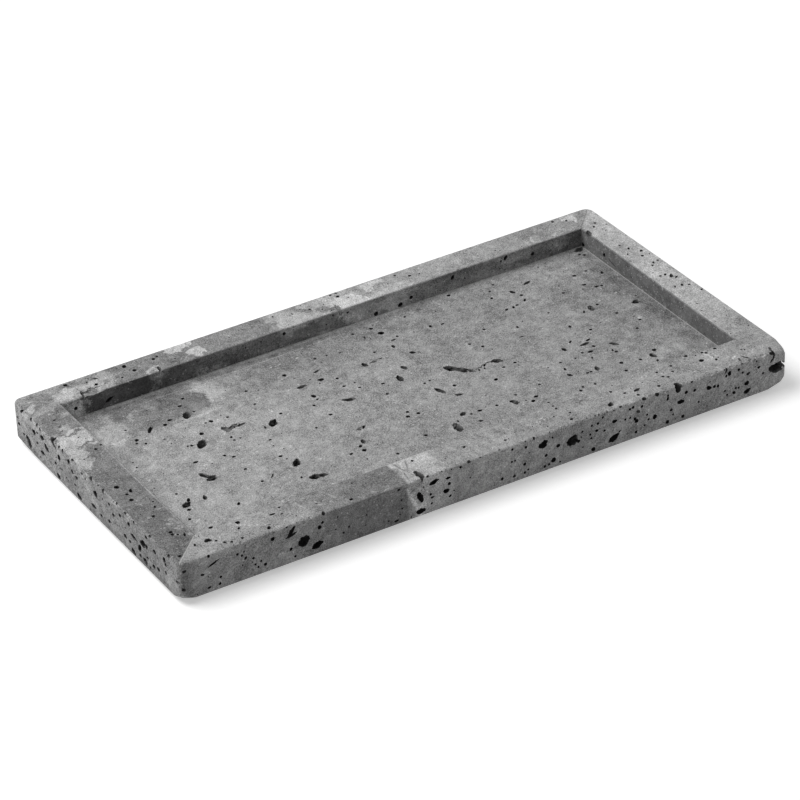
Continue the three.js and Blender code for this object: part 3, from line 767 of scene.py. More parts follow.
floorPanel = {
    "tone": 0.29,
    "patches": [
        (-90, -5, 110, 90, 10, 0.345, 0.6), (-30, -30, 60, 30, 0, 0.31, 0.6), (95, 5, 110, 110, 0, 0.262, 0.6),
        # painted shade: the patch at (-40, 61), a dark strip along the back wall's foot
        (132, 10, 18, 120, 0, 0.235, 0.6), (-40, 61, 190, 16, 0, 0.23, 0.6), (-22, 45, 66, 28, 0, 0.228, 0.7),
        # painted light: the patch at (95, 59) lightens the floor against the back wall's shadow
        (18, 46, 46, 28, 0, 0.235, 0.7), (62, 50, 16, 14, 0, 0.25, 0.6), (95, 59, 80, 9, 0, 0.42, 0.6),
        (110, 46, 56, 24, -15, 0.335, 0.6), (90, 30, 20, 18, 0, 0.295, 0.6), (47, 20, 16, 34, 0, 0.265, 0.7),
        (-80, 18, 34, 16, 0, 0.41, 0.6), (-20, -2, 70, 36, 0, 0.32, 0.8), (-38, -4, 24, 20, 0, 0.35, 0.7),
        (-95, -26, 14, 16, 30, 0.3, 0.6), (22, -36, 64, 46, 0, 0.257, 0.7), (80, -42, 36, 14, 0, 0.25, 0.7),
        # painted shade: the patch at (135, 5), along the right wall's foot
        (135, 5, 13, 90, 0, 0.18, 0.6), (112, -40, 22, 18, 0, 0.31, 0.6), (-116, 19, 36, 5, 45, 0.385, 0.8),
        (-104, 8, 40, 4, 38, 0.375, 0.8), (-70, 10, 44, 5, 20, 0.365, 0.9), (-121, 39, 20, 13, 15, 0.45, 0.3),
        (-72, 46, 17, 22, -10, 0.43, 0.3), (-100, 45, 30, 25, 35, 0.19, 0.25),
        (-105, 53.5, 31, 17, -15, 0.175, 0.15), (-111, 48, 14, 10, 30, 0.18, 0.3),
        (-88, 45.5, 27, 21, -20, 0.17, 0.08), (-80, 40, 13, 10, 0, 0.175, 0.25), (-110, 37.5, 22, 7, 40, 0.21, 0.4),
        (-23, 58, 50, 4, 0, 0.19, 0.3), (-108, 48, 4.5, 8, -20, 0.37, 0.4), (-97, 50, 4, 3, 0, 0.29, 0.5),
        (104, 51, 7, 3.5, 20, 0.35, 0.5), (113, 46, 6, 3, -10, 0.34, 0.5), (121, 49, 5, 3, 30, 0.36, 0.5),
        (127, 44, 6, 4, 0, 0.34, 0.5), (119, 40, 5, 3, 0, 0.33, 0.5), (131, 50, 4, 3, 0, 0.35, 0.5),
        (60, -20, 50, 30, 20, 0.275, 0.7), (20, 30, 46, 22, -10, 0.275, 0.7),
    ],
    "lines": [
        # painted light: the first line lightens the floor along the back wall's foot, against its shadow
        (0, 60.2, 272, 3, 0, 0.45, 0.8), (-125, 12, 30, 1.2, 42, 0.41, 0.7), (-118, 6, 26, 1, 42, 0.4, 0.7),
        (-111, 15, 24, 1.1, 40, 0.41, 0.7), (-100, -4, 22, 0.9, 35, 0.4, 0.7), (-84, 31.8, 27, 1.6, 6, 0.43, 0.7),
        (-72.6, 41, 1.6, 17, -12, 0.46, 0.7), (-62, 30, 26, 1, 24, 0.38, 0.7), (-58, -12, 24, 0.9, -30, 0.37, 0.7),
        (-88, -40, 26, 1, 20, 0.39, 0.7), (-45, 55.2, 100, 0.5, 0.3, 0.37, 0.6),
        (62, 55.6, 110, 0.45, -0.2, 0.32, 0.6), (-37.6, 49, 1.3, 0.9, 0, 0.6, 0.3),
        (-33, 49.1, 1, 0.8, 0, 0.55, 0.3), (-24, 49.4, 1.3, 0.9, 0, 0.6, 0.3), (122.5, -8, 2.6, 1.4, 10, 0.5, 0.4),
        (126, 16, 1.3, 1, 0, 0.52, 0.3), (116, 14.5, 1.2, 1, 0, 0.5, 0.3),
    ],
    "pores": {"floor": [
        (-107, 34, 5, 1.6, 50), (-99.6, 33.6, 1.8), (-88.3, 35, 4.6, 3, 50), (-96.2, 36, 2, 1.5, 0), (-84, 36, 1.2),
        (-115.8, 29.6, 1.8), (-117, 27.3, 1.2), (-113.6, 25.2, 1.2), (-87, 43.5, 1.8, 1.4, 0), (-83, 48.2, 1.5),
        (-81.6, 25, 2, 1.6, 120), (-74, 23.8, 1.2), (-90, 18.4, 2.2, 1.8, 90), (-94, 11, 6, 3.4, 40),
        (-98, 12.4, 1.4), (-99.7, 13, 1), (134.4, 58.6, 4.4, 3.2, 30), (-80.3, 16.4, 2, 0.9, 110, 1.4),
        (-77.4, 14.6, 1.8, 0.8, 70, 1.2), (-75, 15.8, 1.6, 0.7, 80, 1.1), (-72.6, 16, 1.4, 0.6, 60, 1),
        (-80.5, 8.8, 1.6, 1.1, 70), (-80.6, 6, 1.1), (-77.6, 6, 1), (-103, 0, 2.4, 1.4, 0),
        (-56.7, 37.8, 1.6, 1.2, 0), (-36, 39.8, 1.8), (-17.7, 44.3, 1.3), (-58.8, 26.3, 1.2),
        (-22.5, 34.6, 3, 1.1, 15), (-24.4, 27.4, 2.6, 2, 0), (-34.4, 27.2, 3.8, 1.8, 0), (-17.9, 24.3, 1.3),
        (-1.8, 27.3, 3, 2.4, 90), (2.6, 27.4, 3.4, 0.8, 4), (-34, 17.4, 2.6, 1.8, 100), (-34, 14.2, 1.6, 0.9, 30),
        (-37.8, 10.7, 1.4), (-53.2, 13.2, 1.4), (-18.7, 17, 1.6, 1.2, 0), (-13.5, 12.2, 1.4, 1, 0),
        (-3.3, 9.2, 1.8, 1.1, 0), (-6.2, 0.8, 1.4), (-35.6, 0.3, 1.8, 1.4, 0), (-59.8, 8.4, 5, 3.6, 40),
        (-64.4, 7.2, 2.2, 0.9, 75), (-22.6, 6.3, 5.4, 2, -25), (7.3, 53, 1.3), (16.6, 52.4, 1.8, 1.6, 0),
        (18.3, 46.6, 2.8, 2.4, 0), (10.3, 47.5, 1.8, 0.8, 80), (34.8, 52.6, 1.2), (40, 39, 1.8, 1.3, 65),
        (45.7, 37.6, 1.8, 1, 0), (20, 38.3, 2.2, 1, 0), (23, 40, 1.2), (16.9, 33.4, 2.6, 1.4, 95), (7.4, 34, 1.3),
        (21.3, 24.2, 2.8, 1.8, -40), (11.4, 15.2, 3.4, 2, 95), (5.2, 8.6, 4.4, 2.8, 80), (46.4, 15.8, 1.4),
        (50.2, 10.8, 1.4), (58.6, 23, 1.3), (61.4, 57.4, 2, 1.4, 0), (79.2, 50, 1.2), (83.6, 54, 1.2),
        (76.4, 44.1, 1.8, 1.2, 70), (87.3, 43.4, 2.8, 1.8, -65), (97.5, 46.7, 4, 1.6, 15), (89.3, 38.8, 1.5),
        (88, 34.2, 2.6, 1, 55), (76.6, 31.8, 1.8, 1.3, 30), (80.3, 31.8, 2, 1.1, 70), (82.7, 32.6, 1.6, 1.2, 0),
        (106.2, 29.6, 1.3), (118.3, 30.4, 2, 1.3, 0), (122.2, 25.8, 2.2, 1.3, 0), (124.6, 25.2, 1.4),
        (131.4, 35, 2, 1.3, 65), (126, 40.4, 1.2), (119, 39.8, 2, 1.4, 0), (132, 54.6, 1.6, 1, 0), (133.8, 53, 1.5),
        (72.2, 16, 2, 1, 80), (109, 11, 3.6, 2.6, 80), (104.6, 10.2, 2.2, 1, 55), (113.2, 12.2, 1.4),
        (92, 3, 1.8, 1.3, 70), (129.2, 4.6, 3.4, 2.8, 20), (116.4, 1, 1.4), (69.3, 8, 2, 0.8, 0),
        (-90.1, -2.3, 1.3), (-87.2, -5.3, 1.6, 1.3, 0), (-104.6, -11.6, 6.4, 2.2, -58), (-103.2, -14.6, 4.6, 3, 20),
        (-87.9, -16.6, 1.4), (-70.4, -16.4, 1.8, 1.4, 0), (-121.6, -16.9, 1.2), (-122, -26.7, 4, 3.2, 20),
        (-119.6, -23.9, 2.6, 1.4, 60), (-113, -26.1, 3.2, 1.7, 80), (-122.9, -30.5, 1.6), (-86.6, -28.9, 1.3),
        (-80.9, -27.7, 3.2, 0.7, 45), (-103.4, -38.2, 2.2, 1.2, 60), (-126.1, -36.8, 1.4),
        (-71.2, -35.7, 1.5, 1, 70), (-121.9, -47.2, 2, 1.4, 15), (-67.6, -2.6, 1.2), (-46.1, -5.5, 1.2),
        (-67.4, -24.6, 5.4, 3, 60), (-66.2, -38.2, 4.2, 3.2, 0), (-62.8, -39.3, 3.6, 2.6, -30),
        (-35, -26.4, 3, 1.8, 65), (-37.8, -28.9, 2.2, 1.4, 55), (-38.1, -32.6, 2), (-44.3, -31.9, 1.8, 1.2, 20),
        (-28.6, -16.3, 1.8, 1.2, 60), (-30.9, -16.7, 2, 0.8, 10), (-6.6, -16.9, 1.5), (-8.4, -20.1, 1.7),
        (-3.2, -20.4, 1.6), (-9.9, -37.4, 1.6), (-27.6, -43, 1.4), (12.1, -1.1, 1.3), (22.1, -10, 1.6),
        (14.4, -10, 5.6, 2, -75), (19.6, -17.4, 3.4, 1.6, -15), (39.8, -16.1, 2.2, 1.5, 40), (48.3, -9.4, 1.3),
        (54.6, -8.9, 1.4), (28.2, 2.8, 6, 3.8, -60), (31.8, -0.6, 6, 3, -45), (35, -3.4, 3, 1.4, -40),
        (38.6, -4.4, 1.6, 1, 60), (41.4, -4.6, 1.5, 1, 70), (42.6, -2.6, 1.6, 0.9, 40), (48.7, -3.2, 4.4, 3, -40),
        (53.5, -30.4, 1.2), (12.5, -31.9, 3, 2, 15), (15.6, -33.9, 1.2), (20.1, -33.7, 2.2, 1.5, 0),
        (28.6, -34.3, 1.5, 1.2, 0), (40, -31.8, 1.2), (36.6, -36.4, 4.4, 2.2, -60), (43.7, -40.2, 2, 1.6, 30),
        (46.7, -37.9, 2.2, 1.5, 0), (7.6, -35.7, 1.6, 0.8, 80), (4.7, -39.9, 5.6, 3.2, 85),
        (15.9, -41, 2, 1.3, -15), (65.7, -44.9, 1.5), (68.1, -42.9, 1.3), (68.9, -31.4, 2.6, 1.6, -60),
        (69.8, -26.2, 2.2, 1.1, 80), (98.3, -4.3, 1.4), (84.8, -8.1, 2.2, 1, 35), (78.9, -12.1, 2.8, 1.7, 95),
        (89.2, -13.2, 4.4, 1.6, 5), (92.3, -11.1, 2.6, 1.2, 25), (91.4, -17.1, 1.5), (84, -18.9, 1.3),
        (87.6, -20, 2.6, 1.5, 0), (100, -20.5, 4, 1.9, -55), (71.2, -20.4, 1.5, 1, 0), (78.8, -21.2, 1.3, 0.8, 70),
        (85.3, -24.9, 1.5, 1, 60), (96.4, -24.7, 1.8, 1, 65), (97.1, -26.6, 1.4), (116.4, -15.3, 1.4),
        (121.8, -9.7, 1.3), (76.4, -34.4, 1.5, 1.1, 0), (78.3, -34.4, 1.2), (81.9, -33.7, 3.2, 1.8, 65),
        (93.6, -35.7, 1.7), (111.9, -35, 2, 1.8, 0), (108.9, -38.4, 3.6, 2.4, -65), (102.3, -38.2, 1.5),
        (91.7, -42.4, 1.5), (108.1, -43.1, 1.6, 1.1, 60), (74, -43.9, 1.3), (120.5, -47.3, 1.5),
    ]},
    "worn": {"floor": [
        (38, -4.6, 8, 3.4, -8, 0.6), (43.5, -3, 6, 3, 20, 0.5), (-30, -16.6, 5, 1.6, 5, 0.5),
        (5, 27.6, 6, 1.8, 4, 0.5),
    ]},
    "open": {"floor": [
        (-79.5, 15.8, 4.6, 2.6, 100, 1), (-76, 15.6, 5, 2.4, 20, 0.7), (-72.4, 15.2, 4.4, 1.6, 10, 0.6),
    ]},
    "sides": [],
    "scatter": [
        ("floor", 120, (-134, 136), (-59, 59), (0.6, 1.1)),
        ("floor", 14, (-134, 136), (-59, -49), (1, 2.4)),
        ("under", 110, (-135, 134), (-58, 58), (0.8, 3.4)),
    ],
    # the pads are glued to whole stone
    "clear": [(x, y, 10) for x in (124.7, -126.4) for y in (-49.1, 49.9)],
    "box": panelBox,
}

panel = stoneBlock(*panelBox)
panel.name = panel.data.name = "stone_floor_panel"
finishStone(panel, "floor", floorPanel)
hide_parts("floor_panel")

# rails, sawn from one blank

blank = trayBlank()

# broken out of the front right corner, across both rails and their resin
cornerHollow = [(149, 9.4, 7.6, 4.4, 2, 4.2), (154.8, 8.5, 4, 2.3, 0, 5.8)]

frontRail = {
    "tone": 0.3,
    "patches": [
        (-130, -66, 40, 16, 0, 0.325, 0.5), (100, -66, 60, 12, 0, 0.315, 0.6), (142, -68, 36, 40, 0, 0.31, 0.5),
        (141.5, -63, 9, 7, 0, 0.25, 0.5), (60, -72, 70, 14, 0, 0.28, 0.6), (18, -66, 30, 20, 0, 0.26, 0.6),
        (80, -70, 14, 12, 0, 0.34, 0.6), (-34.5, -62, 22, 17, 0, 0.52, 0.15), (-40, -71, 9, 12, 0, 0.48, 0.2),
        (-32, -75, 17, 11, 0, 0.46, 0.3), (-150, -75, 9, 7, 0, 0.2, 0.5), (-82, -68, 22, 90, 0, 0.25, 0.5),
        (-68, -68, 26, 90, 0, 0.185, 0.35), (118.5, -64, 2.2, 9, 0, 0.54, 0.4),
        (127.4, -72.4, 3.6, 2.2, 30, 0.55, 0.4), (31.4, -66.4, 2.2, 2, 0, 0.6, 0.3),
    ],
    "lines": [
        (-56, -68, 25.2, 90, 0, 0.165, 0.05), (-40.6, -64, 0.9, 9, 12, 0.26, 0.5),
        (-41, -71.5, 0.8, 7, -10, 0.26, 0.5), (-36.4, -64.5, 0.9, 9.5, -22, 0.29, 0.5),
        (-38.6, -71, 0.8, 6, 8, 0.3, 0.5), (-89.5, -66.5, 1, 8, 15, 0.37, 0.6), (-75, -67, 1, 9, 20, 0.33, 0.6),
    ],
    "pores": {
        "rim": [
            (-117.1, -62.8, 2), (-133.8, -67.1, 3, 2.2, 15), (-131, -69.4, 1.2), (-118.8, -66.7, 1.6, 1.1, 60),
            (-139.8, -67.3, 1.8, 1, 80), (-128.6, -72.4, 1.3), (-126.1, -73.7, 1.2), (-121.1, -73.7, 1.2),
            (-108.3, -73.4, 2.2, 1.5, 60), (-102.3, -65.5, 2.8, 1, 0), (-98.8, -67.4, 1.4, 0.8, 20),
            (-32.9, -63.7, 1.3), (-36.2, -74.3, 5, 2.4, 95, 3), (-8.9, -66.9, 1.4), (-69.3, -74.4, 1.6),
            (41.1, -74.3, 1.6), (8.5, -72.3, 1.2), (61.5, -74, 3, 2.2, 60), (93, -63.9, 1.2), (93.3, -68.1, 1.2),
            (95.1, -69.6, 1.3), (114.9, -66.7, 2.2, 2, 0), (120.9, -69.6, 1.6, 1.1, 60), (67.4, -65.6, 1.3),
            (77.7, -70.7, 3, 1.6, 10), (87.4, -73.4, 1.4), (75.9, -74.4, 1.3), (119.1, -61.3, 1.3),
            (120.4, -62.6, 1.4), (125.8, -61.7, 1.4), (101.3, -62.8, 1.2), (99.3, -66.9, 1.2), (71.9, -69.9, 1.3),
            (40.3, -61, 1.1), (40.3, -63.6, 1.1), (43.5, -69.6, 1.1), (129.2, -75.6, 3, 0.8, 80, 1.5),
            (132.6, -75.4, 4, 0.8, -60, 1.5), (145.6, -75.6, 3, 1, 70, 2),
        ],
        "front": [
            (9.4, 16.5, 1.2), (16.3, 15.1, 1.2), (20.6, 18, 1.4, 1, 80), (29.9, 15.1, 1), (9.1, 10.3, 1.1),
            (10.7, 10.3, 1), (10.2, 2.6, 1.3), (17.4, 3.4, 1), (25.8, 1.9, 1.3), (28, 2.1, 1.1), (45.2, 12.5, 1),
            (50.2, 13.8, 1), (49.4, 9.6, 1.1), (49.9, 7.5, 1.1), (52.7, 10.5, 1.7, 1.2, 0), (53.3, 13.8, 1.3),
            (55.8, 16, 1.1), (56.7, 8.9, 1.1), (64.7, 5.8, 1.2, 0.8, 50), (70, 15.1, 1.2), (67.7, 10.7, 1.1),
            (70.2, 10.7, 1), (76.4, 14.3, 1.3), (72.7, 9.3, 1.4), (79.1, 9.1, 1), (80, 6.5, 1.1), (77.8, 4.1, 1),
            (73.3, 2.3, 1.4), (90.2, 15, 1.1), (93, 4.3, 1.2, 0.8, 80), (104.3, 12.7, 1.4), (106.6, 6, 1),
            (116.9, 10.5, 1.4), (120.7, 6.6, 1), (121.3, 14, 1.2), (122, 4.1, 1.1), (126.6, 6, 1.2),
            (128.2, 5.7, 1.1), (130.2, 12.7, 1.1), (141.3, 8.5, 1.2), (-150, 15.3, 1.8, 1.3, 20),
            (-141.8, 10.5, 1.8, 1, -20), (-138.4, 18.4, 1.3), (-134, 3.1, 1.3), (-133.4, 6.3, 1.1),
            (-125.1, 14.3, 1.2), (-123.1, 12.9, 1.1), (-117.8, 9.6, 1.2), (-117, 6.2, 1), (-114.3, 6.8, 1),
            (-115.7, 4.4, 1), (-98.1, 2.9, 1), (-84.5, 14.7, 1.2), (-83.7, 18.6, 1.4), (-74.7, 5.8, 1),
            (-48.9, 1.9, 2.2, 1, 5), (-47.3, 17, 1.1), (-31.8, 9, 1.2), (-22.1, 4.6, 1.4, 1, 30), (-31.4, 4.3, 1),
            (-16.6, 17.1, 1.2), (41.9, 19, 2.8, 0.8, -50), (58.2, 18.8, 2.2, 0.8, 40), (74.8, 19.4, 1.8, 0.8, -30),
            (81.4, 19, 2.2, 0.8, 60), (118.6, 18.6, 1.8, 0.9, 80), (121.6, 17.6, 3.6, 0.9, 65),
            (129.4, 18.6, 3, 0.8, -65), (132.6, 19, 2.6, 0.8, -70), (-150.8, 6.5, 2, 1.4, -20),
            (-136.4, 14.2, 5, 0.9, 22), (-121.4, 11, 1.6, 1.1, 60), (-112.4, 4.5, 1.4), (-108.4, 15.5, 1.8),
            (-99.4, 15.9, 4, 1.6, 50), (-99.4, 14, 5, 1, 15), (-93.8, 9, 4.4, 4, 30), (-86, 12.8, 1.8),
            (-87.4, 4.5, 4.6, 3, 10), (-100, 7.2, 1.4), (-139, 3.2, 1.6, 1, 10), (-36.8, 9.5, 4.6, 2.2, -70),
            (-36.8, 2.5, 3.6, 2.2, 0), (-30, 14.5, 4, 2, 10), (-23, 14, 2.4, 1.2, 0), (-24, 7.8, 2.6, 2, 0),
            (-31, 7.2, 1.8, 1, 0), (-22.4, 11, 1.4), (4, 3.5, 1.4), (15.6, 6.8, 1.4), (15.6, 2.5, 1.2),
            (25.2, 13.5, 4.2, 3, 20), (26.6, 7.2, 1.4), (32.8, 9.9, 2, 1.6, 0), (30.4, 3.5, 2.2), (43.2, 8.4, 1.6),
            (51, 1.5, 2), (62, 11.8, 2.4, 1.6, 0), (61.6, 3.5, 5, 2.8, 35), (71.6, 15.5, 1.4), (73.6, 7.9, 1.8),
            (83.2, 6.5, 2.2), (90, 1.5, 1.8), (98.2, 1.5, 1.6), (95.8, 17.9, 6, 3.2, 75), (97, 9.5, 3, 1.8, -10),
            (99.8, 13.2, 1.6), (90, 13.4, 1.8, 1.2, 80), (92, 7, 1.4), (112, 11.2, 2.6, 1.8, -30), (115, 11, 1.5),
            (123, 14.8, 2.2, 1.8, 90), (128, 15, 1.4), (125.6, 4, 1.6), (132.4, 6.4, 2.2), (132.8, 2.4, 3.4, 2, 30),
            (133.2, 11.2, 2, 1.2, 30), (139, 12.4, 1.4), (146.9, 17.5, 3.4, 0.9, -70, 2),
            (147, 15.2, 3, 0.9, 75, 2), (146, 13.6, 2.4, 0.9, 50, 2),
        ],
    },
    "scatter": [
        ("frontArris", 12, (-136, -82), (-0.4, 0.4), (0.6, 1.8)),
        ("frontArris", 22, (-34, 40), (-0.4, 0.4), (0.6, 2)),
        ("frontArris", 70, (40, 146), (-0.5, 0.5), (0.7, 3)),
        ("rim", 40, (-138, 138), (-75, -61), (0.6, 1.1)),
        ("front", 30, (-150, 143), (1.5, 18.5), (0.6, 1)),
        ("frontWall", 24, (-136, 134), (0.8, 8.5), (0.7, 2)),
        ("under", 20, (-138, 138), (-74, -62), (0.8, 2.6)),
    ],
    "open": {"front": [*cornerHollow, (40, 9.9, 5, 4.6, 60), (74.4, 12.5, 2.2, 1.4, -30, 0.7)]},
    "sides": [{
        "facing": (0, -1, 0), "shade": 0.97, "smear": (9, 1.6, 42, 0.26),
        "patches": [(-120, 8, 76, 24, 0, 0.84, 0.5), (35, 9, 60, 16, 0, 0.86, 0.6), (-152, 10, 8, 40, 0, 0.7, 0.5)],
        "lines": [(-59.5, 9, 33, 90, 23, 0.68, 0.06), (-40.8, 9.6, 2, 28, 23, 1.6, 0.7)],
    }],
    "box": frontBox,
}

backRail = {
    "tone": 0.34,
    "patches": [
        (-144, 70, 18, 8, 0, 0.22, 0.2), (-149, 64, 9, 4.4, 10, 0.42, 0.3), (-115.5, 67.5, 20, 15, 0, 0.4, 0.15),
        (-130, 66.5, 12, 11.5, -5, 0.54, 0.1), (-118, 67.5, 5, 3.4, 0, 0.47, 0.3),
        (-121.5, 73.7, 18, 4.6, -3, 0.23, 0.15), (-119.4, 62.4, 8, 6, 0, 0.2, 0.2),
        (-65.5, 68, 83, 160, 0, 0.21, 0.03), (-88.2, 62.6, 7.6, 6.6, 0, 0.46, 0.15),
        (-87.6, 62.2, 4.2, 4.4, -20, 0.22, 0.2), (-72.5, 73.4, 13, 7, 0, 0.6, 0.12), (-18, 62, 12, 6, 0, 0.5, 0.3),
        (-66, 64.4, 8, 4.8, -25, 0.54, 0.12), (-11.5, 68, 26, 80, 0, 0.42, 0.05),
        (-9, 70.4, 11, 2.8, -30, 0.24, 0.2), (-12, 74.5, 5, 3, 0, 0.29, 0.3), (3, 73, 11, 7, 0, 0.5, 0.2),
        (13, 73, 14, 7, 0, 0.5, 0.3), (26, 62.5, 40, 8, 0, 0.56, 0.5), (14, 64.5, 18, 15, -20, 0.68, 0.1),
        (2.5, 65.4, 11, 5.4, -30, 0.2, 0.12), (28.6, 72.4, 9.4, 6.4, 0, 0.56, 0.15), (36, 64, 3, 5, 0, 0.4, 0.4),
        (110, 70, 46, 18, 0, 0.26, 0.5), (113.2, 63.8, 1.8, 5, -5, 0.5, 0.4), (137, 72, 5.4, 8, 0, 0.62, 0.12),
        (138.6, 67.5, 2.6, 5, -10, 0.6, 0.2), (144, 72, 4, 11, -45, 0.27, 0.3), (73, 70, 8, 13, 0, 0.47, 0.5),
        (124.6, 62.8, 1.6, 3, -20, 0.5, 0.5), (109.2, 62.6, 1.4, 3, -20, 0.48, 0.5), (60, 68, 14, 7, 0, 0.37, 0.6),
        (88, 69, 16, 8, 10, 0.37, 0.6),
    ],
    "pores": {
        "rim": [
            (-124.4, 62.6, 5, 1.4, 80), (-122.6, 60.6, 2.4, 1.6, 0), (-98.5, 72.8, 2.4, 1.8, 70), (-96, 67.4, 1.8),
            (-84.6, 71, 1.6), (-82.4, 72, 1.2), (-86.4, 62.4, 3.4, 1.3, 75), (-115.6, 66.4, 1.6),
            (-113.6, 71, 2, 0.9, -30), (-127.2, 73.6, 1.8), (-103.4, 65, 1.1), (10.8, 71.6, 1.6), (11.6, 74.6, 1.1),
            (8.6, 74.4, 1.2), (-5.4, 69, 1.1), (42.2, 73, 1.1), (47.8, 69, 1.4), (95.8, 75.4, 1.8, 1, 30),
            (129.6, 73.6, 1.4), (135.6, 71, 1.5, 1, 40),
        ],
        "backWall": [
            (-129, 4.6, 1.6), (-112.5, 3.4, 3.6, 1.6, 20), (-23.5, 6.8, 1.6), (24.6, 1, 2), (37.5, 1.4, 2.2),
            (43.5, 3.4, 1.8), (66, 6.4, 2.4, 1.6, 60), (95, 7.4, 2.4, 1.5, 50), (110, 4.6, 1.8),
        ],
    },
    "scatter": [
        ("rim", 34, (-138, 138), (62, 75), (0.6, 1.1)),
        ("back", 120, (-148, 148), (1.5, 15.5), (0.7, 4.2)),
        ("backWall", 26, (-134, 136), (0.8, 8.5), (0.6, 1.3)),
        ("under", 20, (-138, 138), (62, 74), (0.8, 2.6)),
    ],
    "worn": {"rim": [(-119.6, 62, 8.4, 5.4, 5, 1)]},
    "sides": [{
        # painted shade: the inner back wall is darkened to 0.66 of its tone
        "facing": (0, -1, 0), "shade": 0.66, "smear": (28, 5, 0, 0.52),
        "patches": [
            (-129, 14, 15, 40, 0, 1.4, 0.2), (-95, 14, 54, 40, 0, 0.38, 0.12), (-108, 14, 30, 40, 0, 0.25, 0.3),
            (-86, 19, 8, 7, 0, 0.9, 0.4), (-16, 19, 18, 7, 0, 0.9, 0.4), (-14, 12, 28, 8, 0, 0.44, 0.3),
            (14, 17, 22, 12, 0, 0.86, 0.4), (75, 14, 90, 40, 0, 0.84, 0.5), (137, 14, 14, 40, 0, 0.36, 0.5),
        ],
    }],
    "box": backBox,
}

